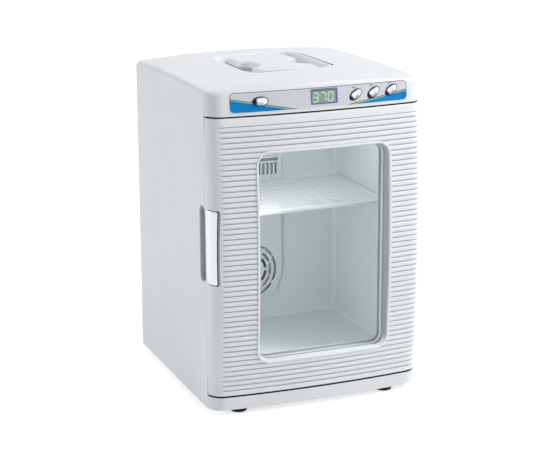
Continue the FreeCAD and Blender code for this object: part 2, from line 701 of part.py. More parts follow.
def fan_frame(y, depth):
    """Square fan frame: round duct, four screw holes, and a spider that holds the bearing."""
    half = FAN_SIZE / 2
    through = (y - NICK, y + depth + NICK)
    body = slab(about(FAN_X, half), (y, y + depth), about(FAN_Z, half), SCREW_PITCH_INSET)
    body = body.cut([rod(half - FAN_WALL, FAN_X, through, FAN_Z)]
                    + [rod(FAN_SCREW_HOLE, x, through, z) for x, z in fan_screw_places()])
    spider_y = (y + depth - FAN_WALL, y + depth)
    pieces = [rod(FAN_HUB + NICK, FAN_X, spider_y, FAN_Z)]
    for index in range(FAN_ARMS):
        arm = block((FAN_X, FAN_X + half - FAN_WALL + NICK), spider_y, about(FAN_Z, FAN_SCREW))
        arm.rotate(vec(FAN_X, 0, FAN_Z), vec(0, 1, 0), 90 + 360 * index / FAN_ARMS)
        pieces.append(arm)
    spider = join(pieces).cut(rod(SHAFT_RADIUS + PIN_FIT, FAN_X, grow(spider_y, NICK), FAN_Z))
    return join([body, spider])


def fan_rotor(y, depth):
    """Hub with pitched blades and a short shaft."""
    hub_y = (y + NICK, y + depth - FAN_WALL - NICK)
    pieces = [rod(FAN_HUB, FAN_X, hub_y, FAN_Z),
              rod(SHAFT_RADIUS, FAN_X, (hub_y[1] - NICK, y + depth - NICK / 2), FAN_Z)]
    tip = FAN_SIZE / 2 - FAN_WALL - TIP_GAP
    middle_y = (hub_y[0] + hub_y[1]) / 2
    envelope = rod(tip, FAN_X, hub_y, FAN_Z)
    for index in range(FAN_BLADES):
        blade = block((FAN_X + FAN_HUB - 2 * NICK, FAN_X + tip + SCREW_PITCH_INSET), about(middle_y, depth),
                      about(FAN_Z, BLADE_THICK / 2))
        blade.rotate(vec(FAN_X, middle_y, FAN_Z), vec(1, 0, 0), BLADE_PITCH)
        blade.rotate(vec(FAN_X, middle_y, FAN_Z), vec(0, 1, 0), 360 * index / FAN_BLADES)
        pieces.append(blade.common(envelope))
    return join(pieces)


def fan_screws():
    """Four screws that hold the fan to the chamber's back wall."""
    shank_y = (CHAMBER_BACK, CHAMBER_FAN_Y + FAN_DEPTH)
    return Part.makeCompound([rod(FAN_SCREW_HEAD, x, (CHAMBER_BACK - SCREW_HEAD_HIGH, CHAMBER_BACK), z).fuse(
        rod(FAN_SCREW, x, shank_y, z)) for x, z in fan_screw_places()])


def heat_sink(base_y, fin_y):
    """Square base over SINK_BASE from base_y, with upright fins over the range fin_y."""
    half = SINK_SIZE / 2
    pieces = [block(about(FAN_X, half), (base_y, base_y + SINK_BASE), about(FAN_Z, half))]
    pitch = (SINK_SIZE - FIN) / (FIN_COUNT - 1)
    for index in range(FIN_COUNT):
        left = FAN_X - half + index * pitch
        pieces.append(block((left, left + FIN), fin_y, about(FAN_Z, half)))
    return join(pieces)


def heat_pump():
    half = MODULE_SIZE / 2
    return block(about(FAN_X, half), (MODULE_Y, HOT_SINK_Y), about(FAN_Z, half))


def temperature_probe():
    """Steel probe held in a clip on the back wall."""
    y = CHAMBER_BACK - CLIP_REACH
    clip = block(about(PROBE_X, CLIP_WIDE), (y, CHAMBER_BACK), about(PROBE_Z, CLIP_HIGH))
    return clip.fuse(post(PROBE_RADIUS, PROBE_X, y, about(PROBE_Z, PROBE_HALF)))


# ---------------------------------------------------------------- rear

def exhaust_slots(y):
    """Two rows of upright slots across the upper part of the rear cover."""
    x, z = rear_opening()
    first = x[0] + EXHAUST_SIDE
    pitch = (x[1] - EXHAUST_SIDE - EXHAUST_WIDE - first) / (EXHAUST_SLOTS - 1)
    slots = []
    for row in range(EXHAUST_ROWS):
        top = z[1] - EXHAUST_TOP - row * EXHAUST_PITCH
        for index in range(EXHAUST_SLOTS):
            left = first + index * pitch
            slots.append(block((left, left + EXHAUST_WIDE), y, (top - EXHAUST_HIGH, top)))
    return slots


def rear_cover():
    """Plate over the rear opening: ringed fan grille, exhaust slots, inlet and switch openings."""
    x, z = rear_opening()
    plate = block(grow(x, -FIT), (COVER_FACE - REAR_PLATE, COVER_FACE), grow(z, -FIT))
    through = (COVER_FACE - REAR_PLATE - NICK, COVER_FACE + NICK)
    cuts = exhaust_slots(through) + [inlet_body(through, FIT), switch_body(through, FIT)]
    for ring, start in zip(GRILLE_RINGS, GRILLE_TURNS):
        cuts += ring_slots(ring, REAR_GRILLE_COUNT, start, through)
    cuts += [rod(SCREW_RADIUS + FIT, hole_x, through, hole_z) for hole_x, hole_z in rear_screw_places()]
    return plate.cut(cuts)


def rear_cover_screws():
    screws = []
    for x, z in rear_screw_places():
        head = rod(2 * SCREW_RADIUS, x, (COVER_FACE, BACK), z)
        screws.append(head.fuse(rod(SCREW_RADIUS, x, (COVER_FACE - SCREW_LENGTH, COVER_FACE), z)))
    return Part.makeCompound(screws)


def inlet_body(y, margin):
    return block(about(INLET_X, INLET_HALF + margin), y, about(INLET_Z, INLET_HIGH + margin))


def switch_body(y, margin):
    return block(about(SWITCH_X, SWITCH_WIDE + margin), y, about(INLET_Z, SWITCH_TALL + margin))


def power_inlet():
    """Three-pole mains inlet: flange, body and the well for a plug."""
    flange = slab(about(INLET_X, INLET_HALF + FLANGE), (COVER_FACE, COVER_FACE + FLANGE_THICK),
                  about(INLET_Z, INLET_HIGH + FLANGE), FLANGE)
    well = slab(about(INLET_X, WELL_HALF), (COVER_FACE - WELL_DEEP, COVER_FACE + FLANGE_THICK + NICK),
                about(INLET_Z, WELL_HIGH), FLANGE_THICK)
    return inlet_body((COVER_FACE - INLET_DEEP, COVER_FACE), 0).fuse(flange).cut(well)


def inlet_pins():
    y = (COVER_FACE - WELL_DEEP, COVER_FACE - PIN_SINK)
    pins = []
    for side, rise in ((-1, -LINE_DROP), (0, EARTH_RISE), (1, -LINE_DROP)):
        pins.append(block(about(INLET_X + side * PIN_PITCH, PIN_WIDE), y, about(INLET_Z + rise, PIN_HIGH)))
    return Part.makeCompound(pins)


def switch_frame():
    """Frame of the mains switch with a well for its rocker."""
    flange = slab(about(SWITCH_X, SWITCH_WIDE + FLANGE), (COVER_FACE, COVER_FACE + FLANGE_THICK),
                  about(INLET_Z, SWITCH_TALL + FLANGE), FLANGE)
    well = block(about(SWITCH_X, ROCKER_WELL_WIDE),
                 (COVER_FACE - ROCKER_WELL_DEEP, COVER_FACE + FLANGE_THICK + NICK),
                 about(INLET_Z, ROCKER_WELL_TALL))
    pin_hole = axle(ROCKER_PIN + PIN_FIT, about(SWITCH_X, ROCKER_WELL_WIDE + ROCKER_PIN_END + FIT),
                    COVER_FACE - ROCKER_AXIS, INLET_Z)
    return switch_body((COVER_FACE - SWITCH_DEEP, COVER_FACE), 0).fuse(flange).cut([well, pin_hole])


def rocker():
    """Mains rocker, tipped to its off side, with its pivot pins."""
    half = ROCKER_WELL_WIDE - RUN
    paddle = block(about(SWITCH_X, half), (COVER_FACE - ROCKER_DEEP, COVER_FACE + ROCKER_PROUD),
                   about(INLET_Z, ROCKER_TALL))
    hollow = axle(ROCKER_HOLLOW, about(SWITCH_X, half + NICK), COVER_FACE + ROCKER_HOLLOW + NICK, INLET_Z)
    pins = axle(ROCKER_PIN, about(SWITCH_X, ROCKER_WELL_WIDE + ROCKER_PIN_END - RUN),
                COVER_FACE - ROCKER_AXIS, INLET_Z)
    whole = paddle.cut(hollow).fuse(pins)
    whole.rotate(vec(SWITCH_X, COVER_FACE - ROCKER_AXIS, INLET_Z), vec(1, 0, 0), ROCKER_TILT)
    return whole


def power_supply():
    """Enclosed supply on the floor of the rear compartment."""
    return slab((SUPPLY_LEFT, SUPPLY_RIGHT), (FOAM_BACK + SCREW_PITCH_INSET, COVER_FACE - SCREW_LENGTH),
                (FOOT_DROP + FRONT_WALL, FAN_Z - SINK_SIZE / 2 - BEYOND), FLANGE)


# ---------------------------------------------------------------- control panel

def panel_label(form):
    """Thin label that follows the fascia, with openings for the display and the buttons."""
    outline = slab((LABEL_LEFT, LABEL_RIGHT), (FRONT - BEYOND, SEAM), (LABEL_LOW, LABEL_TOP), LABEL_CORNER)
    raised = form.translated(vec(0, -LABEL_THICK, 0))
    glued = form.translated(vec(0, -LABEL_GLUE, 0))
    return outline.cut(button_openings(RUN) + [display_opening()]).common(raised).cut(glued)


def display_lens():
    """Bowed window over the display, flush with the label."""
    outline = block(grow((DISPLAY_LEFT, DISPLAY_RIGHT), -FIT), (FRONT - BEYOND, SEAM),
                    grow((DISPLAY_LOW, DISPLAY_TOP), -FIT))
    return outline.common(front_form(LABEL_THICK)).cut(front_form(-LENS_THICK))


def display_module():
    front = FRONT + MODULE_SET
    return block(grow((DISPLAY_LEFT, DISPLAY_RIGHT), FLANGE), (front, front + MODULE_DEEP),
                 (DISPLAY_LOW - NICK, DISPLAY_TOP - FLANGE))


def control_board():
    return block(grow((POCKET_LEFT, POCKET_RIGHT), -FLANGE), (BOARD_FACE, BOARD_FACE + BOARD_THICK),
                 (POCKET_LOW, POCKET_TOP))


def button_face(x, z):
    """Y of the smooth front at a place on the fascia."""
    plan = PLAN_RADIUS - math.sqrt(PLAN_RADIUS ** 2 - x ** 2)
    reach = TALL_RADIUS - plan
    return FRONT + TALL_RADIUS - math.sqrt(reach ** 2 - (z - MIDDLE) ** 2)


def lens_solid(x, z, front, radius, reach, back):
    """Round post with a domed front: its half section turned about its axis along Y."""
    edge_y = front + radius - math.sqrt(radius ** 2 - reach ** 2)
    half_reach = reach / 2
    half_y = front + radius - math.sqrt(radius ** 2 - half_reach ** 2)
    top = vec(x, front, z)
    rim = vec(x + reach, edge_y, z)
    corner = vec(x + reach, back, z)
    foot = vec(x, back, z)
    dome = Part.Arc(top, vec(x + half_reach, half_y, z), rim).toShape()
    sides = [Part.makeLine(rim, corner), Part.makeLine(corner, foot), Part.makeLine(foot, top)]
    return Part.Face(Part.Wire([dome] + sides)).revolve(top, vec(0, 1, 0), 360)


def button(x, z, wide, high, tilt):
    """Domed elliptical cap with a retaining rim and a stem that reaches the switch."""
    face = button_face(x, z)
    back = face + BUTTON_DEEP
    cap = ellipse_prism(x, z, wide, high, tilt, (face - BUTTON_PROUD, back))
    dome = lens_solid(x, z, face - BUTTON_PROUD, BUTTON_DOME, wide + BUTTON_RIM, back)
    rim = ellipse_prism(x, z, wide + BUTTON_RIM, high + BUTTON_RIM, tilt, (back - BUTTON_RIM, back))
    stem = rod(STEM_RADIUS, x, (back - NICK, BOARD_FACE - SWITCH_HIGH - BUTTON_TRAVEL - RUN), z)
    return join([cap.common(dome), rim, stem])


def tact_switches():
    y = (BOARD_FACE - SWITCH_HIGH, BOARD_FACE)
    return Part.makeCompound([block(about(place[0], SWITCH_HALF), y, about(place[1], SWITCH_HALF))
                              for place in BUTTONS.values()])


# ---------------------------------------------------------------- door

def bow_y(z):
    """Y of the smooth front on the middle line at a height."""
    return FRONT + TALL_RADIUS - math.sqrt(TALL_RADIUS ** 2 - (z - MIDDLE) ** 2)


def rib_cutter():
    """Space in front of the ribs: a zigzag along the bow, turned about the plan's upright axis."""
    pitch = (RIB_TOP - RIB_LOW) / RIB_COUNT
    points = [vec(0, bow_y(RIB_LOW) + RIB_GROOVE, RIB_LOW)]
    for index in range(RIB_COUNT):
        crest = RIB_LOW + (index + 0.5) * pitch
        groove = RIB_LOW + (index + 1) * pitch
        points.append(vec(0, bow_y(crest) + RIB_CREST, crest))
        points.append(vec(0, bow_y(groove) + RIB_GROOVE, groove))
    points += [vec(0, FRONT - BEYOND, RIB_TOP), vec(0, FRONT - BEYOND, RIB_LOW), points[0]]
    profile = Part.Face(Part.makePolygon(points))
    axis_point = vec(0, FRONT + PLAN_RADIUS, 0)
    sweep = math.degrees(math.asin(RIB_HALF_SPAN / PLAN_RADIUS))
    profile.rotate(axis_point, vec(0, 0, 1), -sweep)
    return profile.revolve(axis_point, vec(0, 0, 1), 2 * sweep)


def window_slab(margin, y):
    """Rounded outline of the window frame over the range y."""
    return slab(grow((WINDOW_LEFT, WINDOW_RIGHT), margin), y, grow((WINDOW_LOW, WINDOW_TOP), margin),
                WINDOW_CORNER + margin)


def clear_slab(margin, y):
    """Rounded outline of the clear opening behind the glass over the range y."""
    return slab(grow((WINDOW_LEFT, WINDOW_RIGHT), margin - REVEAL_SIDE), y,
                (WINDOW_LOW + REVEAL_LOW - margin, WINDOW_TOP - REVEAL_TOP + margin),
                WINDOW_CORNER - REVEAL_SIDE + margin)


def grip_outline(margin):
    """Side view of the grip: an upright bar with small corners, rounder at the foot of its rear edge."""
    y = grow((GRIP_FRONT, GRIP_REAR), margin)
    bar = block((-HALF - BEYOND, GRIP_WRAP - HALF), y, grow((GRIP_LOW, GRIP_TOP), margin))
    corners = edges_along(bar, vec(1, 0, 0))
    heel = [edge for edge in corners if edge.CenterOfMass.z < MIDDLE and edge.CenterOfMass.y > GRIP_REAR - NICK]
    bar = bar.makeFillet(GRIP_HEEL + margin, heel)
    front = [edge for edge in edges_along(bar, vec(1, 0, 0)) if edge.CenterOfMass.y < GRIP_FRONT + NICK]
    return bar.makeFillet(GRIP_CORNER + margin, front)


def liner_plate(margin, y):
    """Outline of the door's inner panel over the range y."""
    return block((-HALF + SKIN + margin, DOOR_CAVITY_RIGHT - margin), y,
                 (DOOR_LOW + SKIN + margin, DOOR_TOP - SKIN - margin))


def door_cavity(margin):
    """Room for foam inside the door shell."""
    room = liner_plate(margin, (FRONT - BEYOND, LINER_FACE - DOOR_LINER))
    return room.common(front_form(-SKIN - margin))


def door_shell():
    """Ribbed moulded front of the door with a rolled hinge edge."""
    z = (DOOR_LOW, DOOR_TOP)
    body = front_form(0).common(block(grow((-HALF, HALF), NICK), (FRONT - BEYOND, SEAM - FACE_GAP), z))
    knuckle = post(KNUCKLE, PIVOT_X, PIVOT_Y, z).common(front_form(0))
    body = body.fuse(knuckle).removeSplitter().cut(rib_cutter())
    bores = [post(BUSH_RADIUS, PIVOT_X, PIVOT_Y, (DOOR_LOW - NICK, DOOR_LOW + BUSH_LENGTH)),
             post(BUSH_RADIUS, PIVOT_X, PIVOT_Y, (DOOR_TOP - BUSH_LENGTH, DOOR_TOP + NICK))]
    grip_seat = grip_outline(FIT).cut(front_form(-GRIP_SINK))
    window = window_slab(0, (FRONT - BEYOND, SEAM))
    liner_seat = liner_plate(0, (LINER_FACE - DOOR_LINER, SEAM))
    return body.cut([door_cavity(0), liner_seat, window, grip_seat] + bores)


def door_foam():
    return door_cavity(FIT).cut(window_slab(FIT, (FRONT - BEYOND, SEAM)))


def door_liner():
    """Inner panel of the door with the clear window opening."""
    y = (LINER_FACE - DOOR_LINER, LINER_FACE)
    return liner_plate(FIT, y).cut(clear_slab(-LINER_STEP, grow(y, NICK)))


def window_bezel():
    """Window frame: thin lip proud of the ribs, tapering reveal down to the outer pane."""
    outer = window_slab(0, (FRONT - BEYOND, OUTER_PANE)).common(front_form(BEZEL_PROUD))
    mouth = window_slab(-BEZEL_LIP, (FRONT - BEYOND, FRONT))
    neck = clear_slab(0, (OUTER_PANE, SEAM))
    wires = [min(shape.Faces, key=lambda face: face.CenterOfMass.y).OuterWire for shape in (mouth, neck)]
    return outer.cut(Part.makeLoft(wires, True, True))


def pane(y):
    return window_slab(-PANE_MARGIN, (y, y + PANE))


def pane_spacer():
    """Frame that keeps the two panes apart."""
    y = (OUTER_PANE + PANE, INNER_PANE)
    return window_slab(-PANE_MARGIN, y).cut(clear_slab(0, grow(y, NICK)))


def door_gasket():
    """Soft seal on the inner panel around the chamber mouth."""
    x = grow((-CHAMBER_HALF, CHAMBER_HALF), GASKET_SET)
    z = grow((CHAMBER_LOW, CHAMBER_TOP), GASKET_SET)
    y = (LINER_FACE, SEAM - RUN)
    ring = slab(grow(x, GASKET_WIDTH), y, grow(z, GASKET_WIDTH), GASKET_CORNER)
    return ring.cut(slab(x, grow(y, NICK), z, GASKET_CORNER - GASKET_WIDTH + FLANGE))


def door_grip():
    """Finger grip that wraps the free edge of the door."""
    reach = block((-HALF, 0), (FRONT - BEYOND, SEAM), grow((GRIP_LOW, GRIP_TOP), NICK))
    return grip_outline(0).common(reach).common(front_form(GRIP_PROUD)).cut(front_form(-GRIP_SINK))


# ---------------------------------------------------------------- hinge, feet

def hinge_bracket(z):
    return bracket_outline(z).cut(bracket_screws_at(SCREW_RADIUS + FIT, grow(z, NICK)))


def hinge_pin(z):
    return post(PIN_RADIUS, PIVOT_X, PIVOT_Y, z)


def lower_hinge():
    """Lower bracket with its upright pin."""
    plate = hinge_bracket((SILL - BRACKET, SILL))
    return plate.fuse(hinge_pin((SILL - NICK, DOOR_LOW + BUSH_LENGTH - 2 * NICK)))


def upper_hinge():
    """Upper bracket with its hanging pin."""
    plate = hinge_bracket((LINTEL, LINTEL + BRACKET))
    return plate.fuse(hinge_pin((DOOR_TOP - BUSH_LENGTH + 2 * NICK, LINTEL + NICK)))


def hinge_washer():
    return post(BUSH_RADIUS, PIVOT_X, PIVOT_Y, (SILL, DOOR_LOW - RUN)).cut(hinge_pin((SILL - NICK, DOOR_LOW)))


def hinge_bushes():
    bushes = []
    for z in ((DOOR_LOW, DOOR_LOW + BUSH_LENGTH), (DOOR_TOP - BUSH_LENGTH, DOOR_TOP)):
        bore = post(PIN_RADIUS + PIN_FIT, PIVOT_X, PIVOT_Y, grow(z, NICK))
        bushes.append(post(BUSH_RADIUS, PIVOT_X, PIVOT_Y, z).cut(bore))
    return Part.makeCompound(bushes)


def hinge_screws():
    lower = bracket_screws_at(SCREW_RADIUS, (SILL - SCREW_LENGTH, SILL))
    upper = bracket_screws_at(SCREW_RADIUS, (LINTEL, LINTEL + SCREW_LENGTH))
    return Part.makeCompound(lower + upper)


def foot(x, y):
    """Tapered rubber foot with a bevelled tread, turned about its upright axis."""
    tread = FOOT_RADIUS - FOOT_TAPER
    points = [vec(x, y, 0), vec(x + tread - FOOT_BEVEL, y, 0), vec(x + tread, y, FOOT_BEVEL),
              vec(x + FOOT_RADIUS, y, FOOT_DROP), vec(x, y, FOOT_DROP), vec(x, y, 0)]
    return Part.Face(Part.makePolygon(points)).revolve(points[0], vec(0, 0, 1), 360)


def export(name, shape):
    shape.exportStep("parts/" + name + ".step")


def export_cabinet(form):
    export("outer_casing", outer_casing(form))
    export("inner_liner", inner_liner())
    export("insulation", insulation())
    export("fan_cover", fan_cover())
    export("shelf", shelf())
    export("carry_bowl", carry_bowl())
    export("carry_grip", carry_grip())
    names = ("foot_front_left", "foot_front_right", "foot_rear_left", "foot_rear_right")
    for name, place in zip(names, foot_places()):
        export(name, foot(*place))


def export_cooling():
    export("chamber_fan_frame", fan_frame(CHAMBER_FAN_Y, FAN_DEPTH))
    export("chamber_fan_rotor", fan_rotor(CHAMBER_FAN_Y, FAN_DEPTH))
    export("chamber_fan_screws", fan_screws())
    export("rear_fan_frame", fan_frame(REAR_FAN_Y, REAR_FAN_DEPTH))
    export("rear_fan_rotor", fan_rotor(REAR_FAN_Y, REAR_FAN_DEPTH))
    export("cold_sink", heat_sink(MODULE_Y - SINK_BASE, (COLD_SINK_Y, MODULE_Y - SINK_BASE)))
    export("hot_sink", heat_sink(HOT_SINK_Y, (HOT_SINK_Y + SINK_BASE, REAR_FAN_Y)))
    export("heat_pump", heat_pump())
    export("temperature_probe", temperature_probe())


def export_rear():
    export("rear_cover", rear_cover())
    export("rear_cover_screws", rear_cover_screws())
    export("power_inlet", power_inlet())
    export("inlet_pins", inlet_pins())
    export("switch_frame", switch_frame())
    export("rocker", rocker())
    export("power_supply", power_supply())


def export_panel(form):
    export("panel_label", panel_label(form))
    export("display_lens", display_lens())
    export("display_module", display_module())
    export("control_board", control_board())
    export("tact_switches", tact_switches())
    for name, place in BUTTONS.items():
        export(name, button(*place))


def export_door():
    export("door_shell", door_shell())
    export("door_foam", door_foam())
    export("door_liner", door_liner())
    export("window_bezel", window_bezel())
    export("outer_pane", pane(OUTER_PANE))
    export("pane_spacer", pane_spacer())
    export("inner_pane", pane(INNER_PANE))
    export("door_gasket", door_gasket())
    export("door_grip", door_grip())
    export("lower_hinge", lower_hinge())
    export("upper_hinge", upper_hinge())
    export("hinge_washer", hinge_washer())
    export("hinge_bushes", hinge_bushes())
    export("hinge_screws", hinge_screws())


def main():
    os.makedirs("parts", exist_ok=True)
    form = outer_form()
    export_cabinet(form)
    export_cooling()
    export_rear()
    export_panel(form)
    export_door()


main()
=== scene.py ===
# %% [markdown]
# # A benchtop incubator, dressed for the render
#
# The cabinet, its door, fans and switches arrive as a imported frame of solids.  This notebook
# leaves every solid where it is and works on what the eye meets: the rounded ribs of the door,
# the moulded window frame, the domed keys, the finger grip, and a material for each surface.
# All lengths are metres, the front faces -Y, and Z is up.

# %% Load the frame
import bpy
import json
import math
import numpy as np
from mathutils import Matrix


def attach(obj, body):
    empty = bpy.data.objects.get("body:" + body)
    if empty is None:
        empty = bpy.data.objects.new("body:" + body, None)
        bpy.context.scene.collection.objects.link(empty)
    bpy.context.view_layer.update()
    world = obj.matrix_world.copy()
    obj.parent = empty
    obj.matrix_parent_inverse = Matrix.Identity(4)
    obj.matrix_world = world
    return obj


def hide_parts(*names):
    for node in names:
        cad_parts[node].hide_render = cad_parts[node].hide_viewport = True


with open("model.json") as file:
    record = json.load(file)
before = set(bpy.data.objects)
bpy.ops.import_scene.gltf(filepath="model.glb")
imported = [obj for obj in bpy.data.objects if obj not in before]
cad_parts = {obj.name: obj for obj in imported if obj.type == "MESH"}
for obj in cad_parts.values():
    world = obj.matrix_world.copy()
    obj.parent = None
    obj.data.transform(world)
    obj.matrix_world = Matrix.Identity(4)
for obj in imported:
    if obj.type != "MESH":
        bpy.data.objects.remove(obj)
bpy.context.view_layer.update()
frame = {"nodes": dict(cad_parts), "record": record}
nodes = frame["nodes"]

# %% [markdown]
# ## Sizes shared with the solids
#
# The door front is bowed twice: across the width on one long radius, and over its height on a
# longer one.  Writing those radii down once, from the same few sizes that the solids use, keeps
# every new surface exactly on the one it dresses.

# %% Named sizes
MM = 0.001
HALF = 160.0 * MM
CASE_DEPTH = 311.0 * MM
FRONT_BULGE = 36.5 * MM
SILL = 28.0 * MM
LINTEL = 428.0 * MM
MIDDLE = (SILL + LINTEL) / 2
CROWN = 468.0 * MM
FRONT_CORNER = 24.0 * MM


def bow_radius(half_chord, rise):
    """Radius of the arc that rises by so much over half its chord."""
    return (half_chord ** 2 + rise ** 2) / (2 * rise)


PLAN_RADIUS = bow_radius(HALF, 9.0 * MM)
TALL_RADIUS = bow_radius(200.0 * MM, 10.0 * MM)
WINDOW_LEFT = -95.6 * MM
WINDOW_RIGHT = 107.0 * MM
WINDOW_LOW = 74.0 * MM
WINDOW_TOP = 378.0 * MM
WINDOW_CORNER = 20.0 * MM
BEZEL_LIP = 3.0 * MM
BEZEL_PROUD = 0.8 * MM
LIP_SAG = (WINDOW_LEFT + BEZEL_LIP) ** 2 / (2 * PLAN_RADIUS)
SEAM = (FRONT_BULGE + BEZEL_PROUD - LIP_SAG - CASE_DEPTH) / 2
FRONT = SEAM - FRONT_BULGE
BACK = SEAM + CASE_DEPTH
DOOR_LOW = SILL + 2 * MM
DOOR_TOP = LINTEL - 2 * MM
DOOR_REAR = SEAM - 1 * MM
CORNER_X = HALF - FRONT_CORNER
BOW_CENTRE = FRONT + PLAN_RADIUS
CORNER_Y = BOW_CENTRE - math.sqrt((PLAN_RADIUS - FRONT_CORNER) ** 2 - CORNER_X ** 2)
CORNER_TURN = math.asin(CORNER_X / (PLAN_RADIUS - FRONT_CORNER))
PIVOT_X = 150.0 * MM
PIVOT_Y = SEAM - 7 * MM
KNUCKLE = 13.8 * MM
print("seam at y = %.4f, front corner centre at y = %.4f" % (SEAM, CORNER_Y))


# %% [markdown]
# ## The camera
#
# The cabinet is seen from a little above and to the left, through a long lens.  The camera's
# axes are worked out from three angles, so the view can be read and changed, instead of aiming
# it at an empty, which would add a constraint to the scene.

# %% Camera
def pose_matrix(x_axis, y_axis, z_axis, place):
    """World matrix of a thing: its three axes and its place, a column each."""
    table = np.eye(4)
    table[:3] = np.stack([x_axis, y_axis, z_axis, place], axis=-1)
    return Matrix(table.tolist())


def aim_matrix(place, heading, dip, roll):
    """Camera matrix: its view direction from a heading and a dip, then turned by a small roll about it."""
    a, e, r = np.radians([heading, dip, roll])
    forward = np.array([math.sin(a) * math.cos(e), math.cos(a) * math.cos(e), -math.sin(e)])
    right = np.array([math.cos(a), -math.sin(a), 0.0])
    up = np.cross(right, forward)
    return pose_matrix(right * math.cos(r) + up * math.sin(r), up * math.cos(r) - right * math.sin(r),
                       -forward, place)


def add_object(name, data):
    """New object in the scene, at the origin."""
    made = bpy.data.objects.new(name, data)
    bpy.context.scene.collection.objects.link(made)
    return made


lens = bpy.data.cameras.new("bench_camera")
lens.sensor_fit = "HORIZONTAL"
lens.sensor_width = 36.0
lens.lens = 113.41
camera = add_object("bench_camera", lens)
camera.matrix_world = aim_matrix((-0.9016, -2.25505, 0.8864), 21.58, 15.24, -0.24)
bpy.context.scene.camera = camera
bpy.context.scene.view_settings.view_transform = "Standard"
print("camera lens %.1f mm" % lens.lens)


# %% [markdown]
# ## Turning a grid of points into a mesh
#
# Every new surface here is a function of two parameters.  Once its points are a rows by columns
# array, the faces always follow the same pattern, so one short function makes all the meshes.
# Vertex indices are built as whole arrays; a mask can leave faces out for an opening.

# %% Grid to mesh
def coords(*parts):
    """Coordinates side by side in a last axis, each one spread to the shape of the others."""
    return np.stack(np.broadcast_arrays(*parts), axis=-1)


def grid_faces(rows, columns, wrap):
    """Quads of a grid: each joins a point with its right, upper right and upper neighbours."""
    index = np.arange(rows * columns).reshape(rows, columns)
    if wrap:
        index = np.hstack([index, index[:, :1]])
    return coords(index[:-1, :-1], index[:-1, 1:], index[1:, 1:], index[1:, :-1]).reshape(-1, 4)


FINISH = {}


def mesh_piece(name, points, faces, finish_name, body, sharp=40.0):
    """One object from points and faces, in a finish, on a body; points that no face uses are dropped."""
    used, compact = np.unique(faces, return_inverse=True)
    mesh = bpy.data.meshes.new(name)
    mesh.from_pydata(points.reshape(-1, 3)[used].tolist(), [], compact.reshape(faces.shape).tolist())
    mesh.validate()
    mesh.update()
    mesh.polygons.foreach_set("use_smooth", np.ones(len(mesh.polygons), dtype=bool))
    mesh.set_sharp_from_angle(angle=math.radians(sharp))
    mesh.materials.append(FINISH[finish_name])
    piece = add_object(name, mesh)
    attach(piece, body)
    print("%s: %d points, %d faces" % (name, len(mesh.vertices), len(mesh.polygons)))
    return piece


def surface_piece(name, points, finish_name, body, wrap=True, keep=None, sharp=40.0):
    """A piece from a grid of points; wrap joins its last column to its first, and keep picks the faces."""
    faces = grid_faces(*points.shape[:2], wrap)
    if keep is not None:
        faces = faces[keep(points.reshape(-1, 3)[faces].mean(axis=1))]
    return mesh_piece(name, points, faces, finish_name, body, sharp)


# %% [markdown]
# ## Formulas made of nodes
#
# A pattern on a surface is a formula: a stripe lies where X is between two numbers.  Typed as
# Math nodes one by one, such a formula is hard to read.  So a node's output is wrapped in a
# small class here, and a plus, minus, times or abs on it adds the node that works it out.

# %% Wires
class Wire:
    """An output socket that can stand in a formula: each + - * and abs() on it adds a Math node."""

    def __init__(self, socket):
        self.socket = socket

    def __add__(self, other):
        return maths("ADD", self, other)

    def __sub__(self, other):
        return maths("SUBTRACT", self, other)

    def __rsub__(self, other):
        return maths("SUBTRACT", other, self)

    def __mul__(self, other):
        return maths("MULTIPLY", self, other)

    def __abs__(self):
        return maths("ABSOLUTE", self)


def put(socket, value):
    """Leads a wire to a socket, or sets a plain value on it; a colour may leave out its alpha."""
    if isinstance(value, Wire):
        socket.id_data.links.new(value.socket, socket)
    elif socket.type == "RGBA":
        socket.default_value = tuple(value[:3]) + (1.0,)
    else:
        socket.default_value = value


def feed(made, **values):
    """Sets up a node: a name with a capital is a socket of it, and any other name a property."""
    for key, value in values.items():
        if key[0].isupper():
            put(made.inputs[key.replace("_", " ")], value)
        else:
            setattr(made, key, value)
    return made


def node(where, kind, **values):
    """A new node of one kind, set up by name, in a material, in the world or beside a wire."""
    tree = where.socket.id_data if isinstance(where, Wire) else where.node_tree
    return feed(tree.nodes.new("ShaderNode" + kind), **values)


def wire(where, kind, output=0, **values):
    """The output of a new node, as a wire."""
    return Wire(node(where, kind, **values).outputs[output])


def join(made, *values):
    """Feeds a node's sockets in order, and gives its output."""
    for socket, value in zip(made.inputs, values):
        put(socket, value)
    return Wire(made.outputs[0])


def maths(operation, *values):
    """One Math node over wires and plain numbers, beside its first wire."""
    first = [value for value in values if isinstance(value, Wire)][0]
    return join(node(first, "Math", operation=operation), *values)


def length(a, b):
    """Root of the sum of two squares."""
    return maths("SQRT", a * a + b * b)


print("formulas can be written over wires")

# %% [markdown]
# ## Moulded plastic
#
# The cabinet, the door and the liner are satin mouldings.  Seen close, such plastic has a fine
# grain, a very slow change of tone and a gloss that varies a little where hands and cloths have
# been.  Three noise patterns on Object coordinates give that: one tints the colour, one shifts
# the roughness and a fine one drives the bump.  Object coordinates are used because the solids
# carry no UV map.

# %% Material helpers
def new_material(name):
    """A new material with a Principled shader, also kept by its name in the table of finishes."""
    FINISH[name] = bpy.data.materials.new(name)
    FINISH[name].use_nodes = True
    return FINISH[name]


def finish(material, **values):
    """Feeds a material's Principled shader, and gives the material back."""
    feed(material.node_tree.nodes["Principled BSDF"], **values)
    return material


def object_place(made):
    """Object coordinates as one wire."""
    return wire(made, "TexCoord", "Object")


def object_axes(made):
    """Object X, Y and Z as three wires."""
    return [Wire(socket) for socket in node(made, "SeparateXYZ", Vector=object_place(made)).outputs]


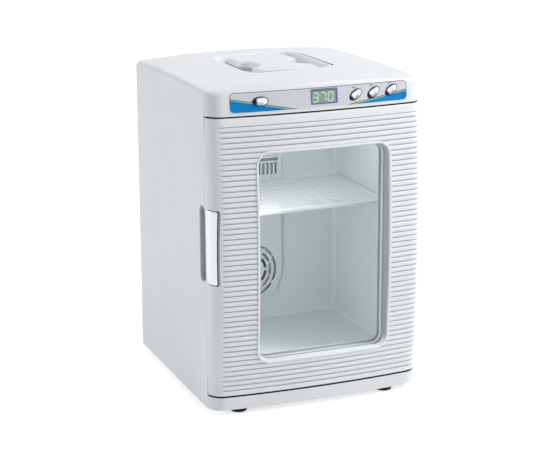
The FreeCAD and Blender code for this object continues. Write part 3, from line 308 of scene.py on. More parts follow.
def noise(made, scale, detail=2.0, stretch=(1, 1, 1)):
    """Noise over Object coordinates in metres; stretch squeezes it along an axis."""
    turn = wire(made, "Mapping", Vector=object_place(made), Scale=stretch)
    return wire(made, "TexNoise", Vector=turn, Scale=scale, Detail=detail)


def spread(value, low=0.0, high=1.0, start=0.3, end=0.7):
    """The part of a value between start and end, spread over the range from low to high."""
    return join(node(value, "MapRange"), value, start, end, low, high)


def soft_step(value, edge, width):
    """0 below an edge and 1 above it, with a ramp of the given width between."""
    return spread(value, 0.0, 1.0, edge - width / 2, edge + width / 2)


def band(value, low, high, width):
    """1 between two limits, with soft edges."""
    return soft_step(value, low, width) * (1 - soft_step(value, high, width))


def blend(factor, first, second):
    """Mix of two colours, or of wires that carry colours, by a factor."""
    mix = node(factor, "Mix", data_type="RGBA", Factor=factor)
    put(mix.inputs[6], first)
    put(mix.inputs[7], second)
    return Wire(mix.outputs[2])


def mottle(made, scale, first, second, detail=2.0):
    """Two colours that noise mixes."""
    return blend(spread(noise(made, scale, detail)), first, second)


def tone_pair(colour, change):
    """Two close tones of one colour, a little darker and a little lighter."""
    return [tuple(min(1.0, c * factor) for c in colour) for factor in (1 - change, 1 + change)]


def bump(height, depth, strength=1.0):
    """Wire for a shader's Normal: a relief of a real depth in metres."""
    return wire(height, "Bump", Strength=strength, Distance=depth, Height=height)


def grain(made, scale, depth, detail=3.0, stretch=(1, 1, 1)):
    """Fine relief that noise drives."""
    return bump(noise(made, scale, detail, stretch), depth)


def painted_shade_mask(made):
    """The point attribute that marks where painted shade darkens a piece."""
    return wire(made, "Attribute", "Fac", attribute_name="groove")


def moulded(name, colour, roughness, change=0.02, scale=2600.0, depth=2e-5, painted_shade=None, mask=painted_shade_mask):
    """Satin moulding: slow tone change, patchy gloss, fine grain, and painted shade where a mask asks for it.
    """
    made = new_material(name)
    tone = mottle(made, 9.0, *tone_pair(colour, change), detail=3.0)
    if painted_shade:
        tone = blend(mask(made), tone, painted_shade)
    gloss = spread(noise(made, 38.0), roughness * 0.88, roughness * 1.12)
    return finish(made, Base_Color=tone, Roughness=gloss, Normal=grain(made, scale, depth))


print("plastic can be mixed")

# %% The main plastics
FAN_X = -22.5 * MM
FAN_Z = SILL + 114 * MM
COVER_Y = BACK - 121 * MM
GRILLE_REACH = 45 * MM
OUTLET_LOW = FAN_Z + 140 * MM
OUTLET_TOP = FAN_Z + 178 * MM
OUTLET_HALF = 50 * MM


def scoop_mask(made):
    """1 inside the finger scoop, deeper than a millimetre: there painted shade darkens the recess."""
    x, y, z = object_axes(made)
    within = band(y, SEAM - 1 * MM, SEAM + 23 * MM, 0.5 * MM) * band(x, 2 * MM - HALF, 13 * MM - HALF, 3 * MM)
    return within * band(z, MIDDLE - 37 * MM, MIDDLE + 75 * MM, 0.5 * MM)


def slot_mask(made):
    """1 on the fan cover's slot walls, which are painted near black as shade: behind its face, and in the
    grille's circle or the outlet's rows.
    """
    x, y, z = object_axes(made)
    grille = 1 - soft_step(length(x - FAN_X, z - FAN_Z), GRILLE_REACH, 1 * MM)
    outlet = band(z, OUTLET_LOW, OUTLET_TOP, 1 * MM) * (1 - soft_step(abs(x - FAN_X), OUTLET_HALF, 1 * MM))
    return soft_step(y, COVER_Y + 0.35 * MM, 0.3 * MM) * maths("MAXIMUM", grille, outlet)


# painted shade: the casing plastic is darker inside the finger scoop, where the recess is in shade
moulded("casing_plastic", (0.815, 0.83, 0.84), 0.42, painted_shade=(0.5, 0.53, 0.545), mask=scoop_mask)
moulded("door_plastic", (0.815, 0.832, 0.845), 0.38)
moulded("liner_plastic", (0.735, 0.785, 0.795), 0.46)
# painted shade: the cover's slot walls are near black, so the slots read as dark openings
moulded("cover_plastic", (0.7, 0.75, 0.76), 0.4, painted_shade=(0.01, 0.011, 0.012), mask=slot_mask)
moulded("shelf_plastic", (0.86, 0.87, 0.875), 0.34, 0.015)
# painted light: the bowl's plastic is paler than the casing's to offset the shade inside the bowl
moulded("bowl_plastic", (0.9, 0.91, 0.915), 0.4)
moulded("spacer_plastic", (0.66, 0.7, 0.74), 0.4)
moulded("black_plastic", (0.018, 0.019, 0.021), 0.45, 0.12, 1800.0, 0.00003)
moulded("rocker_plastic", (0.03, 0.03, 0.032), 0.3, 0.1, 3200.0, 0.00001)
moulded("nylon", (0.78, 0.76, 0.7), 0.5, 0.03)
print("plastics:", ", ".join(FINISH))


# %% [markdown]
# ## Metal, foam, glass and rubber
#
# Each of these has one habit worth copying: brushed aluminium is streaked along its fins, foam
# shows its cells, a soft seal is dull and slightly dusty, and window glass tints what stands
# behind it.  The glass uses a low alpha and not real refraction, because two thin flat panes
# bend light too little to see and would only add noise to the render.

# %% Metals
def metal(name, colour, roughness, streak):
    """Metal with streaks: the noise is stretched along the direction of the brush."""
    made = new_material(name)
    lines = noise(made, 300.0, 3.0, streak)
    return finish(made, Metallic=1.0, Base_Color=blend(spread(lines), *tone_pair(colour, 0.1)),
                  Roughness=spread(lines, roughness * 0.7, roughness * 1.3),
                  Normal=grain(made, 900.0, 0.000008, 2.0, streak))


metal("aluminium", (0.7, 0.71, 0.72), 0.36, (1, 1, 0.04))
metal("steel", (0.56, 0.57, 0.58), 0.28, (0.05, 1, 1))
metal("brass", (0.78, 0.6, 0.28), 0.25, (1, 0.05, 1))
print("finishes so far:", len(FINISH))


# %% Foam, ceramic and rubber
def cellular(name, colour, size, depth, roughness=0.9):
    """Foam or ceramic: cells of one size, with painted shade that darkens their hollows."""
    made = new_material(name)
    cells = wire(made, "TexVoronoi", Vector=object_place(made), Scale=1.0 / size)
    return finish(made, Roughness=roughness, Base_Color=blend(cells, *tone_pair(colour, 0.14)),
                  Normal=bump(cells, depth, 0.6))


def rubber(name, colour, roughness):
    """Dull rubber with a dusty bloom where the noise is high."""
    made = new_material(name)
    dusty = tuple(min(1.0, c * 1.8 + 0.004) for c in colour)
    return finish(made, Specular_IOR_Level=0.25, Normal=grain(made, 2200.0, 0.00003),
                  Base_Color=blend(spread(noise(made, 120.0, 4.0), 0.0, 0.6), colour, dusty),
                  Roughness=spread(noise(made, 400.0), roughness * 0.9, roughness))


cellular("foam", (0.86, 0.8, 0.62), 0.0025, 0.0004)
cellular("ceramic_white", (0.82, 0.82, 0.8), 0.0008, 0.00002, 0.5)
rubber("foot_rubber", (0.006, 0.007, 0.009), 0.75)
rubber("seal_rubber", (0.42, 0.45, 0.46), 0.7)
# this near-black rubber fills the door's seams as their painted shadow
rubber("gap_rubber", (0.004, 0.005, 0.008), 0.8)
rubber("seal_shadow", (0.022, 0.024, 0.027), 0.7)
print("finishes so far:", len(FINISH))


# %% Circuit board and glass
def circuit_board():
    """Green board: a brick pattern in the board's own plane, whose joints are the copper tracks."""
    made = new_material("board")
    turn = wire(made, "Mapping", Vector=object_place(made), Rotation=(math.pi / 2, 0, 0))
    tracks = wire(made, "TexBrick", Vector=turn, Scale=130.0, Mortar_Size=0.03, Color1=(0.01, 0.11, 0.04),
                  Color2=(0.012, 0.15, 0.055), Mortar=(0.03, 0.24, 0.1))
    return finish(made, Roughness=0.35, Base_Color=tracks)


def window_glass():
    """Thin clear pane: mostly see-through, cool tint, faint smears in the gloss."""
    made = new_material("pane")
    made.surface_render_method = "BLENDED"
    smear = spread(noise(made, 22.0, 4.0, (1, 1, 0.3)))
    return finish(made, Alpha=0.035, IOR=1.5, Roughness=spread(noise(made, 60.0, 3.0), 0.02, 0.06),
                  Base_Color=blend(smear, (0.56, 0.63, 0.64), (0.62, 0.68, 0.69)))


circuit_board()
window_glass()
print("finishes so far:", len(FINISH))


# %% [markdown]
# ## Giving each solid its finish
#
# The frame's record already says which slot each solid belongs to, and a finish carries the
# name of its slot, so one loop dresses them all.  Solids that get a smoother piece later are
# covered too, in case one of them shows through a gap.

# %% Materials on the solids
def dress(node_name, finish_name):
    """Puts one finish on every slot of a solid."""
    slots = nodes[node_name].data.materials
    slots.clear()
    slots.append(FINISH[finish_name])


FINISH["gasket"] = FINISH["seal_rubber"]
for part in frame["record"]["subparts"]:
    if part["material_slot"] in FINISH:
        dress(part["node"], part["material_slot"])
dress("fan_cover", "cover_plastic")
dress("carry_bowl", "bowl_plastic")
dress("pane_spacer", "spacer_plastic")


# %% [markdown]
# ## The bowed front as formulas
#
# Seen from above, the front is one long arc that runs into a round corner at each side.  That
# plan is then turned about a level axis far behind the cabinet, which makes the front lean back
# towards its top and bottom.  So a point of the front needs only its place in the plan and its
# height.

# %% Front surface
def lean(plan_y, z):
    """Y at height z of a plan point: its distance to the far axis is kept while the plan turns about it."""
    reach = FRONT + TALL_RADIUS - plan_y
    return FRONT + TALL_RADIUS - np.sqrt(reach ** 2 - (z - MIDDLE) ** 2)


def bow_y(x):
    """Y of the plan's long arc at x: a circle of the plan radius about a centre behind the cabinet."""
    return BOW_CENTRE - np.sqrt(PLAN_RADIUS ** 2 - x ** 2)


def face_y(x, z):
    """Y of the smooth front at a width and a height."""
    return lean(bow_y(x), z)


def arc(x, y, radius, turns):
    """Points and outward normals of an arc; a turn of 0 points to the front, a quarter turn to the right."""
    normal = coords(np.sin(turns), -np.cos(turns))
    return np.array([x, y]) + radius * normal, normal


print("front at the window's middle: y = %.4f" % face_y(0.0, MIDDLE))

# %% [markdown]
# ## The ribbed door
#
# The door is one moulding: a smooth border, a field of rounded level ribs that fade out near
# the sides, and a rolled edge on the hinge side.  Boxes and bevels would never give ribs that
# die away softly, and a bump map would not catch the light along their tops.  So the skin is a
# grid: columns run round the plan from the free edge to the rolled edge, and rows run from the
# underside, over the lower edge, up the ribs and back over the top.

# %% Plan of the door
def door_plan():
    """Columns from the free edge to the hinge: plan points, outward normals, and shares in the lean."""
    turns = np.linspace(-math.pi / 2, -CORNER_TURN, 14)[:-1]
    edge_x = CORNER_X / (PLAN_RADIUS - FRONT_CORNER) * PLAN_RADIUS
    fine = np.linspace(edge_x - 6 * MM, edge_x, 6)
    x = np.concatenate([-fine[::-1], np.linspace(-fine[0], fine[0], 47)[1:-1], fine])
    roll_start = math.pi - math.asin((HALF - PIVOT_X) / KNUCKLE)
    roll_end = 2 * math.pi - math.acos((PIVOT_Y - DOOR_REAR) / KNUCKLE)
    roll = np.linspace(roll_start, roll_end, 18)[1:]
    roll_y = PIVOT_Y - KNUCKLE * math.cos(roll_start)
    runs = [(coords(-HALF, np.linspace(DOOR_REAR, CORNER_Y, 5)[:-1]), (-1, 0), np.linspace(0, 1, 5)[:-1]),
            (*arc(-CORNER_X, CORNER_Y, FRONT_CORNER, turns), 1),
            (coords(x, bow_y(x)), coords(x, bow_y(x) - BOW_CENTRE) / PLAN_RADIUS, 1),
            (*arc(CORNER_X, CORNER_Y, FRONT_CORNER, -turns[::-1]), 1),
            (coords(HALF, np.linspace(CORNER_Y, roll_y, 7)[1:]), (1, 0), np.linspace(1, 0, 7)[1:]),
            (*arc(PIVOT_X, PIVOT_Y, KNUCKLE, roll), 0)]
    return (np.concatenate([points for points, _, _ in runs]),
            np.concatenate([normal + np.zeros_like(points) for points, normal, _ in runs]),
            np.concatenate([share + np.zeros(len(points)) for points, _, share in runs]), len(roll))


plan, plan_normal, plan_share, ROLL_COLUMNS = door_plan()
REAR_X = plan[-1, 0]
print("door plan has", len(plan), "columns")

# %% Rib relief
RIB_COUNT = 51
RIB_LOW = SILL + 10 * MM
RIB_TOP = LINTEL - 14 * MM
RIB_PITCH = (RIB_TOP - RIB_LOW) / RIB_COUNT
RIB_LEFT = -149.0 * MM
RIB_RIGHT = 156.0 * MM
RIB_FADE = 8.0 * MM
RIB_CREST = 0.05 * MM
RIB_GROOVE = 1.8 * MM
ROW_STEPS = 7


def rib_depth(x, z):
    """How far the skin lies below the smooth front: a row of half rounds, faded out towards the sides."""
    phase = np.mod((z - RIB_LOW) / RIB_PITCH, 1.0)
    lobe = np.sqrt(np.clip(1.0 - (2 * phase - 1.0) ** 2, 0.0, 1.0))
    fade = np.clip(np.minimum(x - RIB_LEFT, RIB_RIGHT - x) / RIB_FADE, 0.0, 1.0)
    fade = fade * fade * (3 - 2 * fade)
    inside = (z >= RIB_LOW - 1e-6) & (z <= RIB_TOP + 1e-6)
    return np.where(inside, (RIB_CREST + (RIB_GROOVE - RIB_CREST) * (1 - lobe)) * fade, 0.0)


def rib_rows():
    """Heights of the rows: a few on each border, and seven unequal steps on each rib."""
    steps = (1 - np.cos(np.linspace(0, math.pi, ROW_STEPS + 1)[:-1])) / 2
    ribs = (RIB_LOW + (np.arange(RIB_COUNT)[:, None] + steps[None, :]) * RIB_PITCH).ravel()
    low = np.array([DOOR_LOW + 3 * MM, RIB_LOW - 1.2 * MM, RIB_LOW - 0.25 * MM])
    high = np.array([RIB_TOP, RIB_TOP + 0.25 * MM, RIB_TOP + 1.2 * MM, (RIB_TOP + DOOR_TOP) / 2])
    return np.concatenate([low, ribs, high])


print("rib pitch %.2f mm" % (RIB_PITCH / MM))

# %% Door skin
EDGE_ROUND = 1.8 * MM
GRIP_REAR = SEAM - 1.6 * MM
GRIP_FRONT = SEAM - 26.5 * MM
GRIP_LOW = MIDDLE - 34.5 * MM
GRIP_TOP = MIDDLE + 72.5 * MM
GRIP_SINK = 0.9 * MM


def door_rows():
    """Rows as (height, inset, share): share 0 lies on the rear chord and 1 on the outline."""
    turn = np.linspace(0, math.pi / 2, 6)
    low = [(DOOR_LOW, EDGE_ROUND, share) for share in (0.0, 0.5, 0.9)]
    low += [(DOOR_LOW + EDGE_ROUND * (1 - math.cos(t)), EDGE_ROUND * (1 - math.sin(t)), 1.0) for t in turn]
    front = [(z, 0.0, 1.0) for z in rib_rows()]
    high = [(DOOR_LOW + DOOR_TOP - z, inset, share) for z, inset, share in reversed(low)]
    return np.array(low + front + high)


def door_skin_points():
    """Outline moved in by each row's inset, leant back, sunk by the ribs, or drawn in to the chord."""
    height, inset, share = door_rows().T[:, :, None]
    z = height + np.zeros(len(plan))
    base = plan[None, :, :] - plan_normal[None, :, :] * inset[..., None]
    x = base[..., 0]
    leant = base[..., 1] + plan_share * (lean(base[..., 1], z) - base[..., 1])
    depth = rib_depth(x, z)
    x = x - depth * plan_normal[:, 0]
    y = leant - depth * plan_normal[:, 1]
    steps = np.linalg.norm(np.diff(plan, axis=0), axis=1)
    run = np.concatenate([[0.0], np.cumsum(steps)])
    along = np.clip(run / run[-ROLL_COLUMNS - 1], 0.0, 1.0)
    chord_x = -HALF + along * (REAR_X + HALF)
    under_grip = ((x < -CORNER_X) & (y > GRIP_FRONT + 2 * MM)
                  & (z > GRIP_LOW + 5 * MM) & (z < GRIP_TOP - 3 * MM))
    x = x + np.where(under_grip, GRIP_SINK, 0.0)
    x = chord_x + (x - chord_x) * share
    y = DOOR_REAR + (y - DOOR_REAR) * share
    return coords(x, y, z)


def in_round_rectangle(x, z, margin):
    """True where a point is inside the window outline made smaller by a margin."""
    dx = np.maximum(np.maximum(WINDOW_LEFT - x, x - WINDOW_RIGHT) + WINDOW_CORNER, 0.0)
    dz = np.maximum(np.maximum(WINDOW_LOW - z, z - WINDOW_TOP) + WINDOW_CORNER, 0.0)
    return np.hypot(dx, dz) < WINDOW_CORNER - margin


def solid_door(centres):
    """Faces of the skin that stay: all but those well inside the window frame, on the front."""
    x, y, z = centres.T
    return ~(in_round_rectangle(x, z, 1.5 * MM) & (y < SEAM - 12 * MM))


def mark(piece, shade):
    """Point attribute that asks the plastic for its painted shade; shade is a function of all points at once.
    """
    mesh = piece.data
    points = np.empty(len(mesh.vertices) * 3)
    mesh.vertices.foreach_get("co", points)
    values = shade(*points.reshape(-1, 3).T)
    mesh.attributes.new("groove", "FLOAT", "POINT").data.foreach_set("value", values)
    print("%s: %d points take some of the darker tone" % (piece.name, (values > 0).sum()))


def groove_shade(x, y, z):
    """Painted shade: 0 on the crest of a rib, rising to 1 in its groove."""
    return np.clip(rib_depth(x, z) / RIB_GROOVE, 0.0, 1.0) ** 1.6


# painted shade: the ribs' grooves take a dark tone where shade falls between the ribs
moulded("ribbed_plastic", (0.85, 0.864, 0.875), 0.36, painted_shade=(0.17, 0.19, 0.22))
door_skin = surface_piece("ribbed_door_skin", door_skin_points(), "ribbed_plastic", "door",
                          wrap=False, keep=solid_door, sharp=50.0)
mark(door_skin, groove_shade)
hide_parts("door_shell")

# %% [markdown]
# ## Painted shadow in the seams above and below the door
#
# The clearances round the door look almost black from shadow, so a black strip lies inside each one as painted
# shadow.
# One strip lies on top of the door and moves with it, and one lies on the plinth.  Each is a
# flat profile carried along the door's plan, a little behind the front edge, so it bends
# round the corner as the edge does.  A dark texture on the solids would have to know where
# the gap is; a strip is a thing that can be moved and seen from any side.

# %% Black strips that paint the seams' shadow
FRONT_COLUMNS = slice(6, -ROLL_COLUMNS - 8)


def closed_ends(rows):
    """Rows of a profile with one more at either end, drawn together in the middle of its neighbour."""
    first, last = (np.zeros_like(row) + row.mean(axis=0) for row in (rows[0], rows[-1]))
    return np.concatenate([first[None], rows, last[None]])


def strip_points(z, ahead):
    """Profile of four corners at insets from the front, along the plan, closed at both ends."""
    insets = np.array([ahead, ahead, 9.5, 9.5]) * MM
    levels = z + np.array([-0.6, 0.4, 0.4, -0.6]) * MM
    base = plan[FRONT_COLUMNS][:, None, :] - plan_normal[FRONT_COLUMNS][:, None, :] * insets[None, :, None]
    return closed_ends(coords(base[..., 0], lean(base[..., 1], levels), levels))


# painted shadow: black strips inside the seams above and below the door
for name, z, ahead, body in (("door_top_shadow_strip", DOOR_TOP, 0.8, "door"), ("plinth_shadow_strip", SILL, 0.4, "cabinet")):
    surface_piece(name, strip_points(z, ahead), "gap_rubber", body)


# %% [markdown]
# ## Fine seams round the roof bowl, with painted shadow
#
# The bowl under the carrying grip is an insert.  Along its right side and at its front left a dark strip
# stands for its seam together with the shadow that falls into it, so the strip is partly painted shadow.
# The roof is arched across and turned about a far level axis, so its height is a formula too, and a seam
# is a flat strip laid on that formula along a run of points of a rounded rectangle.  The right one
# narrows to the rear, and the front one to both its ends.

# %% Roof seams and their painted shadow
ROOF_APEX = SEAM + 60 * MM
ROOF_ACROSS = 1830 * MM
ROOF_ALONG = 4500 * MM
BOWL_HALF = 66.6 * MM
BOWL_FRONT = SEAM + 77.5 * MM
BOWL_REAR = BACK - 71.5 * MM
BOWL_CORNER = 25 * MM
SEAM_MARGIN = 4.2 * MM


def roof_z(x, y):
    """Height of the roof: an arch across, turned about a level axis far below."""
    arch = CROWN - ROOF_ACROSS + np.sqrt(ROOF_ACROSS ** 2 - x ** 2)
    centre = CROWN - ROOF_ALONG
    return centre + np.sqrt((arch - centre) ** 2 - (y - ROOF_APEX) ** 2)


def seam_points(path, widths):
    """Profile of four corners across the path, a hair above the roof, closed at both ends."""
    step = np.gradient(path, axis=0)
    out = coords(step[:, 1], -step[:, 0]) / np.linalg.norm(step, axis=1)[:, None]
    across = np.array([-0.5, -0.5, 0.5, 0.5])[None, :, None] * widths[:, None, None]
    place = path[:, None, :] + out[:, None, :] * across
    x, y = place[..., 0], place[..., 1]
    height = roof_z(x, y) + np.array([-0.4, 0.06, 0.06, -0.4]) * MM
    return closed_ends(coords(x, y, np.minimum(height, CROWN - 0.008 * MM)))


def round_rectangle(left, right, low, top, corner, per_corner=10, per_side=14):
    """Closed path, counter-clockwise from the low end of the right side: four arcs and the sides."""
    turns = np.linspace(0, math.pi / 2, per_corner)
    share = np.linspace(0, 1, per_side + 1)[1:-1, None]
    centres = ((right - corner, low + corner), (right - corner, top - corner),
               (left + corner, top - corner), (left + corner, low + corner))
    arcs = [arc(*centre, corner, turns + quarter * math.pi / 2)[0] for quarter, centre in enumerate(centres)]
    return np.concatenate([np.concatenate([here, here[-1] + (after[0] - here[-1]) * share])
                           for here, after in zip(arcs, arcs[1:] + arcs[:1])])


reach = BOWL_HALF + SEAM_MARGIN
outline = round_rectangle(-reach, reach, BOWL_FRONT - SEAM_MARGIN, BOWL_REAR + SEAM_MARGIN,
                          BOWL_CORNER + SEAM_MARGIN, 24, 25)
# painted shadow: these dark strips stand for the bowl's seam and the shade that falls into it
for name, run, wide, taper in (
        ("bowl_seam_shadow_right", slice(17, 68), 3.4 * MM, lambda share: np.sqrt(np.clip(1 - share, 0.02, 1))),
        ("bowl_seam_shadow_front", slice(154, 184), 2.2 * MM, lambda share: np.sin(0.15 + share * (math.pi - 0.3)))):
    widths = wide * taper(np.linspace(0, 1, len(outline[run])))
    surface_piece(name, seam_points(outline[run], widths), "seal_shadow", "cabinet")

# %% [markdown]
# ## The rim behind the door
#
# Opened, the door shows a plain moulded rim around its inner panel.  It is a flat band with two
# edges turned in, the same all the way round, so it is a profile carried round a rectangle.  A
# bevelled box frame would do as well, but the same sweep makes the window frame afterwards.

# %% Sweeping a profile round a rounded rectangle
def ring_surface(stations):
    """Rows of a ring: each station is a path of (x, z) pairs and an array or number for y."""
    return np.stack([coords(path[:, 0], y, path[:, 1]) for path, y in stations])


def rim_path(inset):
    """Outline of the rear rim, moved in."""
    return round_rectangle(-HALF + inset, REAR_X - inset, DOOR_LOW + inset, DOOR_TOP - inset, 0.6 * MM, 3, 6)


RIM_PROFILE = ((3.0, SEAM - 6.0 * MM), (3.0, DOOR_REAR - 0.5 * MM), (2.5, DOOR_REAR), (0.5, DOOR_REAR),
               (0.05, DOOR_REAR - 0.6 * MM))
surface_piece("door_rear_rim", ring_surface([(rim_path(inset * MM), y) for inset, y in RIM_PROFILE]),
              "door_plastic", "door")

# %% [markdown]
# ## The window frame
#
# The frame is a separate moulding: a narrow lip that stands just proud of the ribs, then a
# stepped slope that runs in to the glass.  Only a profile that changes from the bowed outline
# outside to the flat one at the glass gives the highlight along the lip, so the sweep blends
# the two: each station has its own outline and its own share of the bow.

# %% Window frame
GLASS_Y = SEAM - 20 * MM
NECK = (WINDOW_LEFT + 7 * MM, WINDOW_RIGHT - 7 * MM, WINDOW_LOW + 4.5 * MM, WINDOW_TOP - 6 * MM, 13 * MM)
LIP_PROFILE = ((0.05, -2.4), (0.0, 0.1), (0.12, 0.5), (0.45, 0.74), (1.0, 0.8), (2.2, 0.74), (2.75, 0.5),
               (3.0, 0.1))
SLOPE_PROFILE = ((0.05, 0.02), (0.13, 0.09), (0.3, 0.28), (0.5, 0.5), (0.7, 0.72), (0.88, 0.91),
                 (0.95, 0.97), (1.0, 1.0))


def frame_path(inset):
    """Outline of the window frame, moved in."""
    return round_rectangle(WINDOW_LEFT + inset, WINDOW_RIGHT - inset, WINDOW_LOW + inset, WINDOW_TOP - inset,
                           WINDOW_CORNER - inset, 12, 24)


def frame_stations():
    """Outline, then y: the leaning front moved out by a rise, or a share of the way in to the glass."""
    stations = []
    for inset, rise in LIP_PROFILE:
        path = frame_path(inset * MM)
        stations.append((path, face_y(*path.T) - rise * MM))
    mouth = frame_path(BEZEL_LIP)
    neck = round_rectangle(*NECK, 12, 24)
    for across, deep in SLOPE_PROFILE:
        path = mouth + (neck - mouth) * across
        stations.append((path, face_y(*path.T) * (1 - deep) + GLASS_Y * deep))
    return stations


def reveal_shade(x, y, z):
    """Painted shade: 0 on the lip and the lower ledge, 1 on the slope's sides and top, where little light gets
    in.
    """
    deep = np.clip((y - face_y(x, z)) / (2.0 * MM), 0.0, 1.0)
    return deep * np.clip((z - WINDOW_LOW - 7 * MM) / (12 * MM), 0.0, 1.0)


# painted shade: the frame's reveal is darker on its sides and top, where it lies in shade
moulded("frame_plastic", (0.85, 0.864, 0.872), 0.36, painted_shade=(0.37, 0.415, 0.44))
window_frame = surface_piece("window_frame", ring_surface(frame_stations())[::-1], "frame_plastic", "door",
                             sharp=55.0)
mark(window_frame, reveal_shade)
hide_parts("window_bezel")

# %% [markdown]
# ## The finger grip
#
# A bright upright bar lies over the free edge of the door, in a bed of painted shade: its black stands
# for the shadowed gap round the bar, and its grey border, a wide line along its front with a black line
# between it and the bar, for the shaded front edge of the bar.  Seen from the side both are plain
# rounded outlines.  Each is made by filling its outline with a grid, wrapping the grid over the round
# corner of the door, and lifting it by a height that depends on how far a point is from the edge.  A
# Solidify modifier would give a flat top; the pillow gives the soft highlight that polished trim has.

# %% Outline of the grip
GRIP_HEEL = 14.0 * MM
GRIP_CORNER = 3.0 * MM


def edge_distance(y, z, front, rear, low, top, corner, heel):
    """Distance inwards from the nearest side or corner's arc; the rear side counts four times.

    So the bar stays thick up to the edge that a finger hooks round."""
    distance = np.minimum(np.minimum(y - front, 4 * (rear - y)), np.minimum(z - low, top - z))
    for cy, cz, radius, ahead, above in ((front + corner, top - corner, corner, -1, 1),
                                         (front + corner, low + corner, corner, -1, -1),
                                         (rear - heel, low + heel, heel, 1, -1)):
        inside = ((y - cy) * ahead > 0) & ((z - cz) * above > 0)
        distance = np.where(inside, radius - np.hypot(y - cy, z - cz), distance)
    return distance


def corner_cut(radius, beyond):
    """How far a corner's arc draws a row in, at a distance from the end of its side."""
    return radius - np.sqrt(radius ** 2 - np.clip(radius - beyond, 0, radius) ** 2)


def eased(count):
    """Shares from 0 to 1 that lie close together at both ends."""
    return (1 - np.cos(np.linspace(0, math.pi, count))) / 2


def outline_patch(rows, columns, front, rear, low, top, corner, heel):
    """Grid over the outline: each row runs between the sides, drawn in where a corner's arc cuts it."""
    z = (low + (top - low) * eased(rows))[:, None]
    ahead = front + corner_cut(corner, np.minimum(z - low, top - z))
    behind = rear - corner_cut(heel, z - low)
    y = behind + (ahead - behind) * eased(columns)
    return y, z + np.zeros_like(y)


def wrap_on_corner(y, z, rise, side_gap):
    """Point of the left corner at (y, z), moved out along its normal, short of the side by a gap."""
    reach = FRONT + TALL_RADIUS - y
    plan_y = FRONT + TALL_RADIUS - np.sqrt(reach ** 2 + (z - MIDDLE) ** 2)
    turn = np.arcsin(np.clip(CORNER_Y - plan_y, 0.0, FRONT_CORNER * 0.999) / FRONT_CORNER)
    x = -CORNER_X - (FRONT_CORNER + rise) * np.cos(turn)
    return coords(np.maximum(x, side_gap - HALF), y - rise * np.sin(turn), z)


def pillow(outline, low_rise, high_rise, width, side_gap, rows=60, columns=30):
    """Patch whose rise follows a quarter circle from its edge inwards over a width."""
    y, z = outline_patch(rows, columns, *outline)
    near = np.clip(edge_distance(y, z, *outline) / width, 0.0, 1.0)
    rise = low_rise + (high_rise - low_rise) * np.sqrt(1 - (1 - near) ** 2)
    return wrap_on_corner(y, z, rise, side_gap)[:, ::-1]


print("grip is %.0f mm high" % ((GRIP_TOP - GRIP_LOW) / MM))


# %% Trim and bed
def chrome_trim():
    """Polished trim: silver with fine wipe marks, and darker towards its rear edge as a painted reflection."""
    made = new_material("grip_silver")
    marks = noise(made, 160.0, 4.0, (1, 1, 0.05))
    bright = blend(spread(marks), (0.8, 0.81, 0.83), (0.86, 0.87, 0.89))
    # painted reflection: the trim's colour darkens towards its rear edge
    rearward = soft_step(object_axes(made)[1], GRIP_REAR - 3.5 * MM, 8 * MM)
    return finish(made, Metallic=0.55, Coat_Weight=0.6, Coat_Roughness=0.06,
                  Base_Color=blend(rearward, bright, (0.42, 0.43, 0.45)), Roughness=spread(marks, 0.22, 0.32),
                  Normal=grain(made, 700.0, 0.000002, 2.0, (1, 1, 0.1)))


def painted_shade_bed():
    """Painted shade: black for the shadowed gap round the bar, and a grey front border, but for a black line
    beside the bar, for the bar's shaded front edge.
    """
    made = new_material("bed_plastic")
    _, y, z = object_axes(made)
    # painted shade: the grey front border stands for the shaded front edge of the bar
    border = (band(y, GRIP_FRONT - 1 * MM, GRIP_FRONT + 1.55 * MM, 0.3 * MM)
              * band(z, GRIP_LOW + 1.5 * MM, GRIP_TOP - 1.5 * MM, 1.0 * MM))
    speckle = spread(noise(made, 300.0))
    grey = blend(speckle, (0.27, 0.29, 0.303), (0.32, 0.34, 0.352))
    black = blend(speckle, (0.006, 0.007, 0.009), (0.01, 0.011, 0.013))
    return finish(made, Base_Color=blend(border, black, grey), Roughness=spread(noise(made, 90.0), 0.36, 0.46),
                  Normal=grain(made, 2600.0, 0.00002))


chrome_trim()
painted_shade_bed()
dress("door_grip", "grip_silver")
BED = (GRIP_FRONT, GRIP_REAR, GRIP_LOW, GRIP_TOP, GRIP_CORNER, GRIP_HEEL)
PAD = (GRIP_FRONT + 2.3 * MM, GRIP_REAR + 0.2 * MM, GRIP_LOW + 1.2 * MM, GRIP_TOP - 1.2 * MM,
       GRIP_CORNER - 0.8 * MM, GRIP_HEEL - 0.9 * MM)
surface_piece("grip_shade_bed", pillow(BED, -0.8 * MM, 0.15 * MM, 0.5 * MM, 0.4 * MM), "bed_plastic", "door",
              wrap=False, sharp=60.0)
grip_pad = surface_piece("grip_pad", pillow(PAD, -0.6 * MM, 0.8 * MM, 1.6 * MM, 0.0), "grip_silver", "door",
                         wrap=False, sharp=60.0)
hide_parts("door_grip")

# %% [markdown]
# ## The label
#
# The strip above the door is a silver-grey printed film that lies on the fascia.  Its design is
# painted by position: formulas over Object X and Z make a navy border, a blue wedge at each end
# with a lime and a navy line along it, and a short dash over three of the keys.  An image would
# do this too, but a formula stays sharp at any distance and needs no file.

